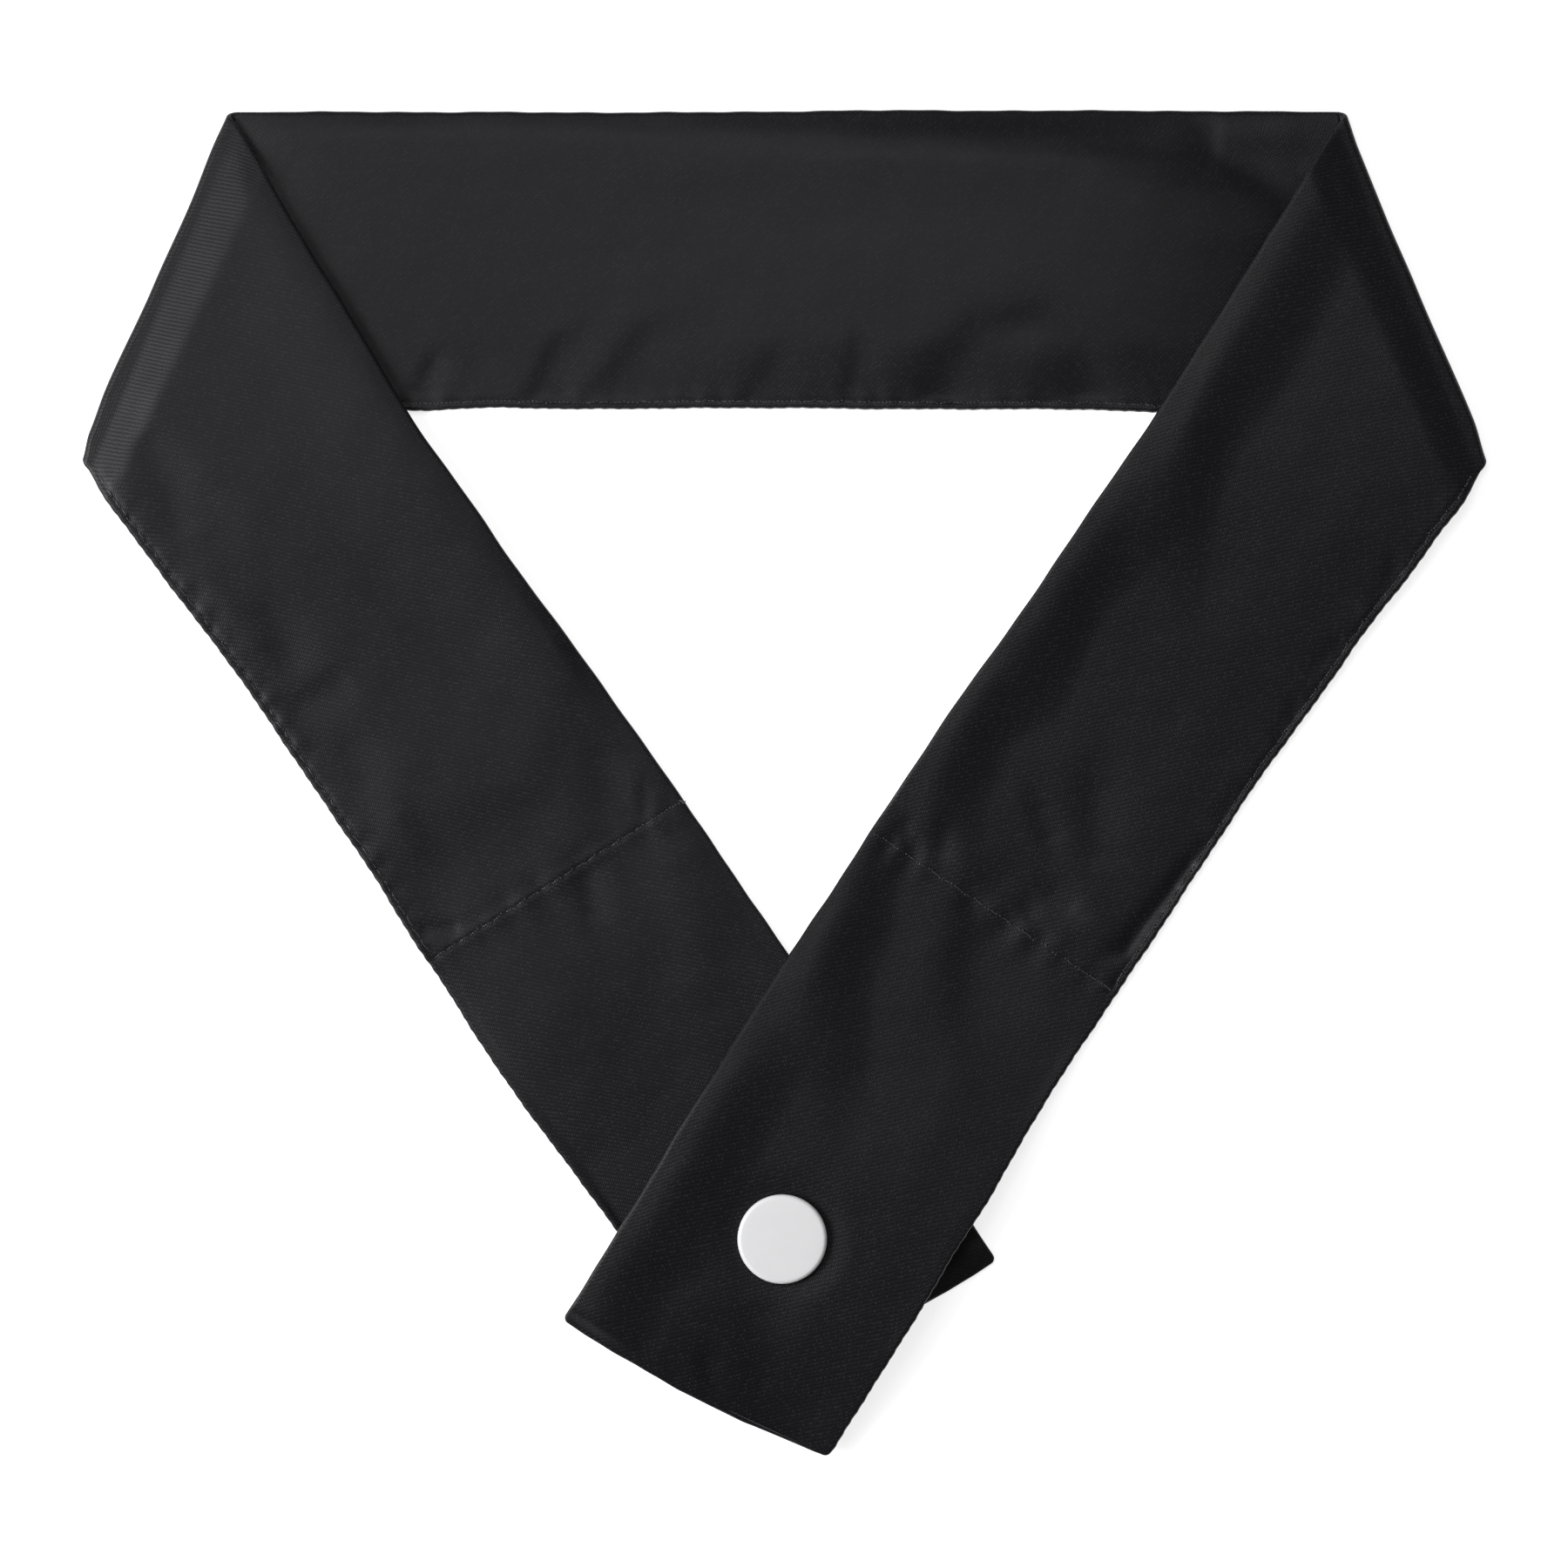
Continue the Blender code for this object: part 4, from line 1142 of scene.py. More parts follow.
@dataclass(frozen=True)
class PolyesterSatin:
    """Black polyester satin, woven from bright filament and pressed.

    The eye sees a near-black cloth with a soft broad sheen on slopes that face the light, and rows
    of small pale flecks: painted highlights in the base colour, standing in for single floats that
    catch the light.
    """

    ground: str = "#07070B"
    # fleck is a painted highlight colour: the pale flecks stand in for the glints of single floats.
    fleck: str = "#292930"
    # A real float is about 0.3 mm long. The flecks are drawn at the spacing that shows.
    row_pitch: float = 0.46
    fleck_pitch: float = 0.53
    mottle: float = 0.10
    ground_roughness: float = 0.42
    fleck_roughness: float = 0.62
    specular: float = 0.28
    anisotropy: float = 0.22
    sheen: float = 0.02
    relief: float = 0.035

    def make(self) -> bpy.types.Material:
        """Build the shader, with the weave laid in millimetres on the strap's own map."""
        satin, shader = new_material("black_polyester_satin")
        strap = add_node(satin, "ShaderNodeUVMap", {"uv_map": "strap"})
        cells = add_node(
            satin,
            "ShaderNodeMapping",
            {},
            {
                "Vector": strap.outputs["UV"],
                "Scale": (1.0 / self.fleck_pitch, 1.0 / self.row_pitch, 1.0),
            },
        )
        parts = add_node(satin, "ShaderNodeSeparateXYZ", {}, {0: cells.outputs[0]})
        shifted = add_node(
            satin,
            "ShaderNodeMath",
            {"operation": "MULTIPLY_ADD"},
            {0: parts.outputs["Y"], 1: 0.5, 2: parts.outputs["X"]},
        )
        lattice = add_node(
            satin,
            "ShaderNodeCombineXYZ",
            {},
            {"X": shifted.outputs[0], "Y": parts.outputs["Y"]},
        )
        floats = add_node(
            satin,
            "ShaderNodeTexVoronoi",
            {"voronoi_dimensions": "2D", "feature": "F1"},
            {"Vector": lattice.outputs[0], "Scale": 1.0, "Randomness": 0.2},
        )
        fleck = add_node(
            satin,
            "ShaderNodeMapRange",
            {"interpolation_type": "SMOOTHSTEP"},
            {"Value": floats.outputs["Distance"], "From Min": 0.52, "From Max": 0.02},
        )
        chance = add_node(satin, "ShaderNodeSeparateColor", {}, {0: floats.outputs["Color"]})
        bright = add_node(
            satin,
            "ShaderNodeMath",
            {"operation": "POWER"},
            {0: chance.outputs[0], 1: 3.5},
        )
        strength = add_node(
            satin,
            "ShaderNodeMapRange",
            {},
            {"Value": bright.outputs[0], "To Min": 0.24, "To Max": 1.0},
        )
        glint = add_node(
            satin,
            "ShaderNodeMath",
            {"operation": "MULTIPLY"},
            {0: fleck.outputs[0], 1: strength.outputs[0]},
        )
        patches = add_node(
            satin,
            "ShaderNodeTexNoise",
            {"noise_dimensions": "2D"},
            {"Vector": strap.outputs["UV"], "Scale": 0.16, "Detail": 5.0, "Roughness": 0.6},
        )
        shade = add_node(
            satin,
            "ShaderNodeMapRange",
            {},
            {
                "Value": patches.outputs[0],
                "From Min": 0.3,
                "From Max": 0.7,
                "To Min": 1.0 - self.mottle,
                "To Max": 1.0 + self.mottle,
            },
        )
        # Painted highlights: the flecks are mixed into the base colour, paler where single floats
        # would catch the light.
        ground_and_painted_glints = add_node(
            satin,
            "ShaderNodeMix",
            {"data_type": "RGBA"},
            {0: glint.outputs[0], 6: linear(self.ground), 7: linear(self.fleck)},
        )
        colour = add_node(
            satin,
            "ShaderNodeVectorMath",
            {"operation": "SCALE"},
            {0: ground_and_painted_glints.outputs[2], "Scale": shade.outputs[0]},
        )
        bump = add_node(
            satin,
            "ShaderNodeBump",
            {},
            {
                "Strength": 0.6,
                "Distance": self.relief * MM,
                "Height": fleck.outputs[0],
            },
        )
        satin.node_tree.links.new(colour.outputs[0], shader.inputs["Base Color"])
        satin.node_tree.links.new(bump.outputs[0], shader.inputs["Normal"])
        grain = add_node(
            satin,
            "ShaderNodeTangent",
            {"direction_type": "UV_MAP", "uv_map": "strap"},
        )
        satin.node_tree.links.new(grain.outputs[0], shader.inputs["Tangent"])
        gloss = add_node(
            satin,
            "ShaderNodeMapRange",
            {},
            {
                "Value": glint.outputs[0],
                "To Min": self.ground_roughness,
                "To Max": self.fleck_roughness,
            },
        )
        satin.node_tree.links.new(gloss.outputs[0], shader.inputs["Roughness"])
        shader.inputs["Specular IOR Level"].default_value = self.specular
        shader.inputs["Anisotropic"].default_value = self.anisotropy
        shader.inputs["Anisotropic Rotation"].default_value = 0.25
        shader.inputs["Sheen Weight"].default_value = self.sheen
        shader.inputs["Sheen Roughness"].default_value = 0.5
        return satin


@dataclass(frozen=True)
class SpunThread:
    """Black polyester sewing thread, twisted from filament and glossier than the cloth."""

    ground: str = "#101012"
    # high is a painted highlight colour: the pale twist bands stand in for light glancing off the
    # filaments.
    high: str = "#4A4A50"
    twist: float = 0.35
    bands: float = 0.3
    roughness: float = 0.24

    def make(self) -> bpy.types.Material:
        """Build the shader, with the twist as fine bands through the thread; the pale bands are
        painted highlights of the twisted filaments.
        """
        thread, shader = new_material("black_polyester_thread")
        place = add_node(thread, "ShaderNodeTexCoord")
        twist = add_node(
            thread,
            "ShaderNodeTexWave",
            {"wave_type": "BANDS", "bands_direction": "DIAGONAL"},
            {
                "Vector": place.outputs["Object"],
                "Scale": self.bands / (self.twist * MM),
                "Distortion": 0.4,
            },
        )
        # Painted highlights: the twist bands are paler in the base colour.
        tone = add_node(
            thread,
            "ShaderNodeMix",
            {"data_type": "RGBA"},
            {0: twist.outputs["Fac"], 6: linear(self.ground), 7: linear(self.high)},
        )
        bump = add_node(
            thread,
            "ShaderNodeBump",
            {},
            {"Strength": 0.5, "Distance": 0.03 * MM, "Height": twist.outputs["Fac"]},
        )
        thread.node_tree.links.new(tone.outputs[2], shader.inputs["Base Color"])
        thread.node_tree.links.new(bump.outputs[0], shader.inputs["Normal"])
        shader.inputs["Roughness"].default_value = self.roughness
        return thread


@dataclass(frozen=True)
class MouldedAcetal:
    """White acetal, injection moulded with a fine matt texture. It looks even and softly bright."""

    colour: str = "#EFEFF0"
    shade: str = "#E9E9EB"
    grain: float = 0.5
    roughness: float = 0.46

    def make(self) -> bpy.types.Material:
        """Build the shader, with faint flow marks and a fine matt grain."""
        acetal, shader = new_material("white_moulded_acetal")
        place = add_node(acetal, "ShaderNodeTexCoord")
        flow = add_node(
            acetal,
            "ShaderNodeTexNoise",
            {},
            {"Vector": place.outputs["Object"], "Scale": 1.0 / (4.0 * MM), "Detail": 3.0},
        )
        tone = add_node(
            acetal,
            "ShaderNodeMix",
            {"data_type": "RGBA"},
            {0: flow.outputs[0], 6: linear(self.colour), 7: linear(self.shade)},
        )
        grain = add_node(
            acetal,
            "ShaderNodeTexNoise",
            {},
            {"Vector": place.outputs["Object"], "Scale": 1.0 / (self.grain * MM), "Detail": 2.0},
        )
        bump = add_node(
            acetal,
            "ShaderNodeBump",
            {},
            {"Strength": 0.25, "Distance": 0.02 * MM, "Height": grain.outputs[0]},
        )
        acetal.node_tree.links.new(tone.outputs[2], shader.inputs["Base Color"])
        acetal.node_tree.links.new(bump.outputs[0], shader.inputs["Normal"])
        shader.inputs["Roughness"].default_value = self.roughness
        shader.inputs["IOR"].default_value = 1.48
        return acetal


@dataclass(frozen=True)
class Studio:
    """A pale floor, two soft lights, a soft white surround and the camera."""

    frame_width: float = 263.9
    lens: float = 300.0
    sensor: float = 36.0
    floor_size: float = 3000.0
    floor_drop: float = 0.2
    key_distance: float = 800.0
    key_size: float = 420.0
    key_elevation_deg: float = 39.0
    key_turn_deg: float = 180.0
    key_power: float = 6.65
    top_place: tuple[float, float, float] = (-40.0, 260.0, 620.0)
    top_size: float = 260.0
    top_power: float = 0.68
    surround: float = 0.16

    def camera(self) -> None:
        """Look straight down, as the photograph does."""
        data = bpy.data.cameras.new("camera")
        data.lens = self.lens
        data.sensor_width = self.sensor
        data.clip_end = 20.0
        camera = bpy.data.objects.new("camera", data)
        height = self.frame_width * self.lens / self.sensor
        camera.location = (0.0, 0.0, height * MM)
        bpy.context.scene.collection.objects.link(camera)
        bpy.context.scene.camera = camera

    def softbox(self, name: str, place: Vector, size: float, power: float) -> None:
        """A square soft light that faces the middle of the wrap.

        Args:
            name: The light's name.
            place: Where it stands.
            size: Length of its side.
            power: Its power in watts.
        """
        data = bpy.data.lights.new(name, "AREA")
        data.shape = "SQUARE"
        data.size = size * MM
        data.energy = power
        light = bpy.data.objects.new(name, data)
        light.location = place * MM
        light.rotation_euler = place.to_track_quat("Z", "Y").to_euler()
        light.visible_camera = False
        bpy.context.scene.collection.objects.link(light)

    def lights(self) -> None:
        """A key light low on the left, and a weak one high over the neck stretch."""
        height, turn = math.radians(self.key_elevation_deg), math.radians(self.key_turn_deg)
        flat = math.cos(height)
        place = Vector((flat * math.cos(turn), flat * math.sin(turn), math.sin(height)))
        self.softbox("key", place * self.key_distance, self.key_size, self.key_power)
        self.softbox("top", Vector(self.top_place), self.top_size, self.top_power)

    def floor(self) -> None:
        """A large pale plane, just under the wrap so that the two don't share a surface."""
        shape = bmesh.new()
        bmesh.ops.create_grid(shape, x_segments=2, y_segments=2, size=self.floor_size * MM / 2.0)
        bmesh.ops.translate(shape, vec=(0.0, 0.0, -self.floor_drop * MM), verts=shape.verts)
        mesh = bpy.data.meshes.new("floor")
        shape.to_mesh(mesh)
        shape.free()
        paper, shader = new_material("white_paper_floor")
        shader.inputs["Base Color"].default_value = linear("#F4F4F4")
        shader.inputs["Roughness"].default_value = 0.9
        shader.inputs["Emission Color"].default_value = (1.0, 1.0, 1.0, 1.0)
        shader.inputs["Emission Strength"].default_value = 0.75
        mesh.materials.append(paper)
        floor = bpy.data.objects.new("floor", mesh)
        bpy.context.scene.collection.objects.link(floor)

    def world(self) -> None:
        """An even white surround."""
        world = bpy.data.worlds.new("surround")
        world.use_nodes = True
        background = world.node_tree.nodes["Background"]
        background.inputs["Color"].default_value = (1.0, 1.0, 1.0, 1.0)
        background.inputs["Strength"].default_value = self.surround
        bpy.context.scene.world = world
        bpy.context.scene.view_settings.view_transform = "Standard"

    def build(self) -> None:
        """Set up everything that isn't the wrap."""
        self.camera()
        self.lights()
        self.floor()
        self.world()


# ---- Layout, the same as the solids have: where the strap runs, as seen from above ----
STRAIGHT = (Drift(0.0, 0.0), Drift(1.0, 0.0))
LEFT_CREASE_DRIFT = (
    Drift(0.00, 0.0),
    Drift(0.10, 0.2),
    Drift(0.25, 0.0),
    Drift(0.50, 0.4),
    Drift(0.80, 1.1),
    Drift(0.92, 0.8),
    Drift(1.00, 0.1),
)
RIGHT_CREASE_DRIFT = (
    Drift(0.00, 0.1),
    Drift(0.10, -0.2),
    Drift(0.30, -0.2),
    Drift(0.50, 0.1),
    Drift(0.88, 0.7),
    Drift(1.00, 0.1),
)
NECK_TOP_DRIFT = (
    Drift(0.00, 0.00),
    Drift(0.10, 0.15),
    Drift(0.20, 0.05),
    Drift(0.40, 0.00),
    Drift(0.58, 0.30),
    Drift(0.85, 0.25),
    Drift(1.00, 0.10),
)
NECK_LOWER_DRIFT = (
    Drift(0.00, 0.0),
    Drift(0.12, -5.4),
    Drift(0.23, -8.2),
    Drift(0.29, -8.6),
    Drift(0.35, -8.4),
    Drift(0.42, -8.6),
    Drift(0.72, -8.4),
    Drift(0.77, -8.0),
    Drift(0.88, -5.2),
    Drift(1.00, 0.0),
)
LEFT_INNER_DRIFT = (
    Drift(0.00, 0.0),
    Drift(0.13, -1.6),
    Drift(0.26, -2.9),
    Drift(0.36, -2.4),
    Drift(0.50, -1.2),
    Drift(0.60, -0.7),
    Drift(0.70, -0.5),
    Drift(0.85, -0.2),
    Drift(1.00, 0.0),
)
LEFT_OUTER_DRIFT = (
    Drift(0.00, 0.0),
    Drift(0.03, 0.5),
    Drift(0.12, 0.1),
    Drift(0.23, -0.6),
    Drift(0.41, 0.0),
    Drift(0.54, 1.0),
    Drift(0.64, 1.8),
    Drift(0.82, 1.1),
    Drift(1.00, 0.0),
)
RIGHT_INNER_DRIFT = (
    Drift(0.00, 0.0),
    Drift(0.13, -0.4),
    Drift(0.25, -0.7),
    Drift(0.38, 0.0),
    Drift(0.50, 1.1),
    Drift(0.60, 1.4),
    Drift(0.71, 1.6),
    Drift(0.82, 1.4),
    Drift(0.93, 0.5),
    Drift(1.00, 0.3),
)
RIGHT_OUTER_DRIFT = (
    Drift(0.00, 0.0),
    Drift(0.03, 0.5),
    Drift(0.08, -0.1),
    Drift(0.20, -1.4),
    Drift(0.33, -2.4),
    Drift(0.50, -2.4),
    Drift(0.64, -2.5),
    Drift(0.77, -1.3),
    Drift(0.90, -0.5),
    Drift(1.00, 0.1),
)

# ---- Long soft slopes, placed from the photograph ----
# The right arm's rows are as first placed. All of them are then moved in, widened and deepened.
# Sizes are kept to a tenth of a millimetre and heights to a hundredth.
SIZE_PLACES = 1
HEIGHT_PLACES = 2
ROLL_SHIFT = 1.2
ROLL_WIDENING = 1.4
ROLL_DEEPENING = 1.12


def roll_fall(*rows: FallRow) -> Fall:
    """A slope of the right arm's roll, from its rows as first placed."""
    placed = []
    for row in rows:
        inward = round(row.inward + ROLL_SHIFT, SIZE_PLACES)
        reach = round(row.reach * ROLL_WIDENING, SIZE_PLACES)
        drop = round(row.drop * ROLL_DEEPENING, HEIGHT_PLACES)
        placed.append(FallRow(row.at, inward, reach, drop))
    return Fall(tuple(placed))


NECK_VALLEY = Valley(
    inward=(0.0, 6.0, 10.0, 14.0, 18.0, 24.0, 36.0, 50.0),
    along=(163.5, 164.6, 168.5, 173.0, 174.0, 170.0, 164.0, 158.0),
)
LEFT_FALLS = (
    Fall(
        (
            FallRow(8.0, 12.0, 14.0, 0.0),
            FallRow(30.0, 12.0, 15.0, 0.35),
            FallRow(62.0, 14.0, 17.0, 0.45),
            FallRow(95.0, 12.0, 15.0, 0.35),
            FallRow(125.0, 9.0, 10.0, 0.0),
        )
    ),
)
RIGHT_FALLS = (
    roll_fall(
        FallRow(3.0, 7.0, 9.0, 0.90),
        FallRow(21.0, 7.9, 9.5, 1.35),
        FallRow(33.0, 8.5, 10.0, 1.45),
        FallRow(50.0, 9.1, 9.0, 1.50),
        FallRow(58.0, 10.6, 9.5, 1.50),
        FallRow(65.0, 12.8, 11.0, 1.20),
        FallRow(72.0, 15.5, 13.0, 0.60),
        FallRow(79.0, 18.0, 14.0, 0.00),
    ),
    roll_fall(
        FallRow(60.0, 8.5, 9.0, 0.00),
        FallRow(70.0, 8.0, 9.0, 0.55),
        FallRow(79.0, 7.1, 8.5, 1.25),
        FallRow(89.0, 6.1, 8.0, 1.45),
        FallRow(98.0, 7.2, 9.0, 1.45),
        FallRow(107.0, 7.5, 10.5, 1.50),
        FallRow(113.0, 6.2, 8.5, 1.45),
        FallRow(122.0, 6.5, 8.5, 1.40),
        FallRow(129.5, 8.0, 9.0, 1.25),
        FallRow(135.0, 10.6, 10.0, 0.80),
        FallRow(141.0, 13.0, 11.0, 0.00),
    ),
    roll_fall(
        FallRow(137.0, 3.0, 6.0, 0.00),
        FallRow(147.0, 3.6, 7.0, 0.90),
        FallRow(157.0, 6.4, 8.5, 1.30),
        FallRow(164.5, 7.9, 9.0, 1.40),
        FallRow(171.5, 10.7, 10.0, 1.30),
        FallRow(179.0, 14.5, 11.0, 0.85),
        FallRow(188.0, 17.5, 12.0, 0.00),
    ),
    roll_fall(
        FallRow(176.0, 6.5, 8.0, 0.00),
        FallRow(184.0, 6.6, 8.0, 0.60),
        FallRow(190.0, 6.8, 8.5, 1.15),
        FallRow(198.0, 7.0, 9.0, 1.35),
        FallRow(205.0, 7.7, 9.0, 1.40),
        FallRow(213.0, 8.0, 9.5, 1.45),
        FallRow(220.0, 8.7, 10.5, 1.45),
        FallRow(227.0, 6.9, 9.0, 1.40),
        FallRow(234.5, 7.7, 9.0, 1.30),
        FallRow(242.0, 10.0, 9.0, 1.00),
    ),
)

# ---- Folds of each stretch, placed from the photograph ----
# The small folds are as first placed. All of them are then made wider and lower.
SOFTER_WEST = 1.12
SOFTER_EAST = 1.22
TROUGH_SHARE = 0.82
RIDGE_SHARE = 0.62


def soft_fold(
    path: tuple[tuple[float, float], ...], west: float, east: float, height: float
) -> Fold:
    """A small fold from its sizes as first placed."""
    share = TROUGH_SHARE if height < 0.0 else RIDGE_SHARE
    west = round(west * SOFTER_WEST, SIZE_PLACES)
    east = round(east * SOFTER_EAST, SIZE_PLACES)
    return Fold(path, west, east, round(height * share, HEIGHT_PLACES))


NECK_FOLDS = (
    soft_fold(((-85.0, 105.0), (-84.0, 101.5)), 3.5, 3.5, -0.30),
    soft_fold(((-61.9, 64.5), (-58.2, 71.9)), 1.4, 2.0, -0.40),
    soft_fold(((-51.6, 67.0), (-51.0, 71.5)), 2.2, 2.6, -0.16),
    Fold(((-40.2, 65.5), (-37.5, 72.0)), 2.4, 6.0, -0.50),
    Fold(((-28.7, 65.5), (-22.5, 73.3)), 3.2, 9.0, -0.45),
    soft_fold(((-3.8, 65.5), (0.0, 72.5)), 2.2, 3.2, -0.26),
    soft_fold(((11.5, 65.0), (13.2, 76.0)), 1.8, 2.6, -0.30),
    Fold(
        ((26.0, 62.0), (28.5, 69.5), (34.0, 75.0), (44.0, 77.0), (49.5, 73.0), (51.5, 63.0)),
        4.2,
        6.5,
        -0.62,
        0.12,
    ),
    soft_fold(((2.0, 105.0), (7.0, 106.5)), 3.0, 3.0, -0.12),
    Fold(((72.0, 113.0), (71.6, 106.0)), 3.4, 1.5, -0.25, 0.6),
    Fold(((88.5, 107.0), (91.0, 103.0)), 2.8, 3.0, -0.20),
)
LEFT_FOLDS = (
    soft_fold(((-107.5, 60.1), (-100.2, 41.1)), 2.8, 4.0, -0.40),
    soft_fold(((-96.0, 47.0), (-94.0, 44.0)), 3.0, 3.0, -0.16),
    Fold(((-99.0, 37.5), (-87.0, 21.5)), 2.9, 2.7, 0.19),
    soft_fold(((-85.5, 28.0), (-83.0, 22.0)), 2.8, 4.0, -0.35),
    soft_fold(((-83.6, 11.0), (-73.0, 18.5)), 2.2, 3.0, -0.30),
    soft_fold(((-86.3, 13.2), (-82.5, 7.3)), 1.8, 1.8, 0.22),
    soft_fold(((-72.5, 4.5), (-71.0, 1.5)), 2.6, 3.4, -0.25),
    Fold(((-37.5, 25.0), (-41.0, 14.0), (-44.5, 6.0)), 14.0, 6.5, 0.42),
    soft_fold(((-30.0, 7.0), (-28.3, -7.3)), 3.6, 4.5, -0.45),
    soft_fold(((-23.8, 0.0), (-22.8, -6.5)), 1.0, 1.4, -0.35),
    soft_fold(((-19.3, -1.0), (-18.8, -4.0)), 1.0, 1.2, -0.25),
    Fold(((-58.0, -13.0), (-51.0, -12.0), (-46.0, -9.0)), 7.0, 14.0, -0.45),
    Fold(((-58.0, -16.0), (-55.0, -22.0)), 5.0, 12.0, -0.30),
    soft_fold(((-66.0, -4.0), (-61.5, -12.5)), 3.0, 2.2, 0.42),
    soft_fold(((-61.6, -24.6), (-54.3, -24.0)), 1.2, 1.4, -0.30),
    soft_fold(((-33.6, -12.5), (-31.7, -23.5)), 1.8, 2.6, -0.42),
    soft_fold(((-18.5, -8.0), (-14.5, -24.0), (-12.5, -38.0)), 5.0, 5.0, 0.55),
    Fold(((-9.0, -46.0), (-16.0, -57.0), (-25.0, -71.0)), 22.0, 8.0, -1.05),
    Fold(((-50.0, -34.0), (-41.0, -48.0), (-29.0, -66.0)), 6.0, 14.0, 0.40, 0.6),
)
RIGHT_FOLDS = (
    Fold(((66.0, 38.0), (69.0, 31.5)), 3.8, 9.0, -0.20),
    soft_fold(((42.4, -2.9), (45.3, -10.3)), 1.8, 2.4, -0.40),
    soft_fold(((53.0, 1.5), (52.5, -14.7)), 3.2, 4.0, -0.48),
    soft_fold(((102.6, 36.7), (101.2, 32.3)), 1.6, 2.0, -0.25),
    soft_fold(((94.6, 24.2), (89.4, 19.1)), 1.6, 2.0, -0.25),
    soft_fold(((86.5, 13.2), (84.3, 8.8)), 1.6, 2.0, -0.25),
    soft_fold(((77.7, -0.7), (73.3, -6.6)), 1.6, 2.0, -0.25),
    soft_fold(
        ((71.1, -10.3), (64.5, -19.1), (60.5, -23.5), (57.4, -27.9), (54.5, -28.6)),
        1.5,
        1.3,
        -0.70,
    ),
    soft_fold(((20.5, -7.5), (21.0, -10.5)), 1.2, 1.5, -0.28),
    soft_fold(((27.3, -6.5), (26.0, -12.5)), 1.4, 1.8, -0.35),
    soft_fold(((30.8, -17.5), (31.3, -20.5)), 1.3, 1.6, -0.28),
    soft_fold(((41.1, -19.8), (41.6, -23.0)), 1.3, 1.6, -0.28),
    soft_fold(((44.0, -17.6), (49.1, -21.5)), 1.5, 1.8, -0.40),
    soft_fold(((51.0, -21.5), (54.5, -25.5)), 3.2, 3.0, 0.45),
    Fold(((11.5, -53.0), (13.0, -57.0)), 4.5, 9.0, -0.22),
    soft_fold(((26.5, -15.0), (24.5, -30.0)), 4.0, 4.0, 0.25),
    Fold(((37.0, -21.0), (33.5, -30.0), (33.5, -38.0)), 5.0, 12.0, -0.58),
    soft_fold(((-5.0, -86.5), (-2.0, -103.0)), 3.4, 4.4, -0.42),
    soft_fold(((-13.2, -95.3), (-11.5, -103.4)), 1.3, 1.7, -0.40),
    soft_fold(((-19.5, -98.5), (-18.5, -102.0)), 1.4, 1.8, -0.28),
    soft_fold(((-24.6, -94.0), (-23.6, -97.0)), 1.4, 1.8, -0.25),
)


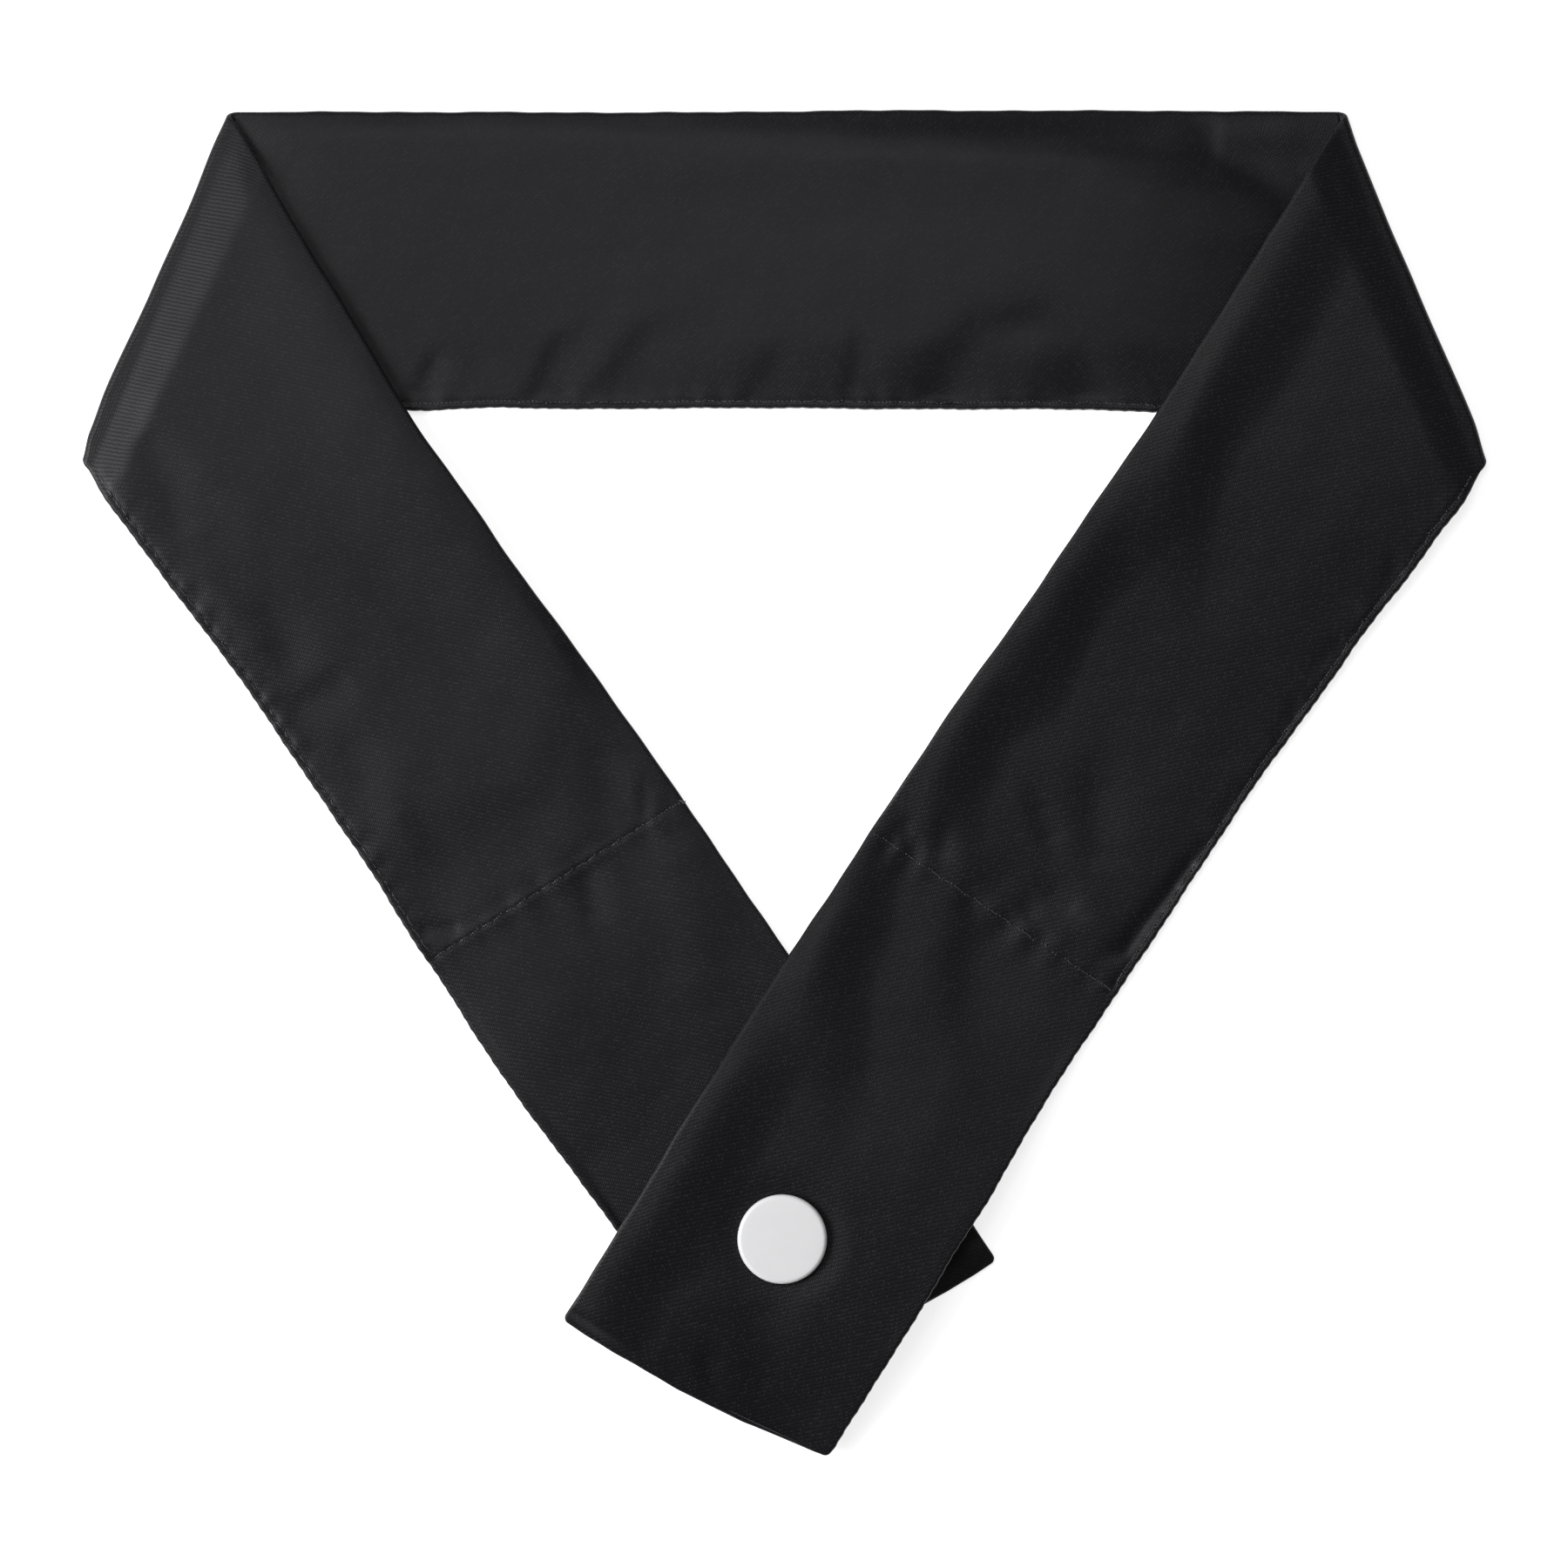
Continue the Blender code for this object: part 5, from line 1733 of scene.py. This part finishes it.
def lay_out() -> tuple[Neck, LeftArm, RightArm]:
    """Settle the strap's three stretches.

    Returns:
        The neck stretch, the left arm and the right arm.
    """
    left_inner_run, left_outer_run = Run(232.6, 33.8), Run(191.9, 35.1)
    right_inner_run, right_outer_run = Run(242.0, 32.9), Run(200.8, 33.5)
    left_peak, right_peak = np.array([-93.5, 113.0]), np.array([94.4, 113.0])
    left_run, right_run = Run(63.5, 22.7), Run(63.4, 22.0)
    left = Crease(left_peak, left_run, -1.0, LEFT_CREASE_DRIFT, left_inner_run, left_outer_run)
    right = Crease(
        right_peak, right_run, 1.0, RIGHT_CREASE_DRIFT, right_inner_run, right_outer_run
    )
    thin = np.array(EDGE_THICKNESS)

    def corner(crease: Crease, v: float, layer: Layer) -> np.ndarray:
        """Where an edge of the strap leaves a bend."""
        return crease.axis(np.array(v), layer.value, thin)

    left_end, right_end = left_inner_run.end(left_peak, 1.0), right_inner_run.end(right_peak, -1.0)
    left_out_end = left_outer_run.end(left.low, 1.0)
    right_out_end = right_outer_run.end(right.low, -1.0)
    west, east, north, south = (np.array(d) for d in ((-1, 0), (1, 0), (0, 1), (0, -1)))
    left_inner = Edge(corner(left, 0.0, Layer.ARM), left_end, LEFT_INNER_DRIFT, east)
    left_outer = Edge(corner(left, 1.0, Layer.ARM), left_out_end, LEFT_OUTER_DRIFT, west)
    right_inner = Edge(corner(right, 0.0, Layer.ARM), right_end, RIGHT_INNER_DRIFT, west)
    right_outer = Edge(corner(right, 1.0, Layer.ARM), right_out_end, RIGHT_OUTER_DRIFT, east)
    top = Edge(corner(left, 0.0, Layer.NECK), corner(right, 0.0, Layer.NECK), NECK_TOP_DRIFT, north)
    lower_start, lower_end = corner(left, 1.0, Layer.NECK), corner(right, 1.0, Layer.NECK)
    lower = Edge(lower_start, lower_end, NECK_LOWER_DRIFT, south)

    neck = Neck(
        "neck_cloth",
        "neck_stretch",
        212.0,
        NECK_FOLDS,
        Profile(fold=1.3, crest=5.0, middle=2.05, stitched=1.85),
        Ripple(0.12),
        (),
        valley=NECK_VALLEY,
        left=left,
        right=right,
        top=top,
        lower=lower,
    )
    left_arm = LeftArm(
        "left_cloth",
        "left_arm",
        214.0,
        LEFT_FOLDS,
        Profile(fold=1.35, crest=4.8, middle=2.0, stitched=1.7),
        Ripple(0.12),
        ("neck_cloth", "snap_back_cap"),
        falls=LEFT_FALLS,
        closed_end=True,
        crease=left,
        hidden_edge=Edge(left.low, lower.at(0.23), STRAIGHT, south),
        inner=left_inner,
        outer=left_outer,
        seam_inner=0.594,
        seam_outer=0.530,
        tail=Profile(fold=1.2, crest=4.8, middle=1.6, stitched=1.2),
        end_bulge=1.2,
    )
    right_arm = RightArm(
        "right_cloth",
        "right_arm",
        221.0,
        RIGHT_FOLDS,
        Profile(fold=1.9, crest=3.6, middle=1.9, stitched=1.6),
        Ripple(0.12),
        ("left_cloth", "neck_cloth"),
        falls=RIGHT_FALLS,
        closed_end=True,
        crease=right,
        hidden_edge=Edge(right.low, lower.at(0.77), STRAIGHT, south),
        inner=right_inner,
        outer=right_outer,
        seam_inner=0.596,
        seam_outer=0.539,
        tail=Profile(fold=1.5, crest=3.6, middle=1.5, stitched=1.2),
        end_bulge=1.3,
    )
    return neck, left_arm, right_arm


def sew(stretch: Stretch, name: str) -> Thread:
    """Sew a stretch's edge seam, and its cross seam if it is an arm.

    Args:
        stretch: The stretch, already laid.
        name: Name of the thread's piece.

    Returns:
        The thread, ready to be built.
    """
    thread = Thread(name, stretch)
    walked = stretch.edge_along
    if isinstance(stretch, Arm):
        seam_distance = stretch.seam_inner * stretch.inner.length()
        seam_row = float(np.interp(seam_distance, stretch.places(), np.arange(len(walked))))
        last = float(np.interp(seam_row, np.arange(len(walked)), walked))
        thread.along_edge(1.0, last - 1.0, stretch.bend_rows)
        thread.across_seam(seam_row + stretch.bend_rows)
        if isinstance(stretch, LeftArm):
            thread.knot(seam_row + stretch.bend_rows, SECTION.column(0.05, Face.UPPER))
    else:
        thread.along_edge(2.0, float(walked[-1]) - 2.0, 0)
    return thread


def dress() -> None:
    """Make every piece of the wrap and its surroundings."""
    Studio().build()
    satin, thread_finish = PolyesterSatin().make(), SpunThread().make()
    acetal = MouldedAcetal().make()
    for stretch, name in zip(lay_out(), ("neck_thread", "left_thread", "right_thread")):
        cloth = stretch.build(satin)
        thread = sew(stretch, name).build(thread_finish)
        stretch.declare(cloth, thread)
    Cap("cap", "snap_cap", 8.1, 9.6, 5.9).build(acetal)
    Cap("back_cap", "snap_back_cap", 0.0, 1.5, 4.0).build(acetal)
    for node in ("snap_socket", "snap_stud"):
        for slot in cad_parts[node].material_slots:
            slot.material = acetal


def main() -> None:
    """Dress the wrap."""
    logging.basicConfig(level=logging.INFO, format="%(message)s")
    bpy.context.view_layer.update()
    dress()


if __name__ == "__main__":
    main()
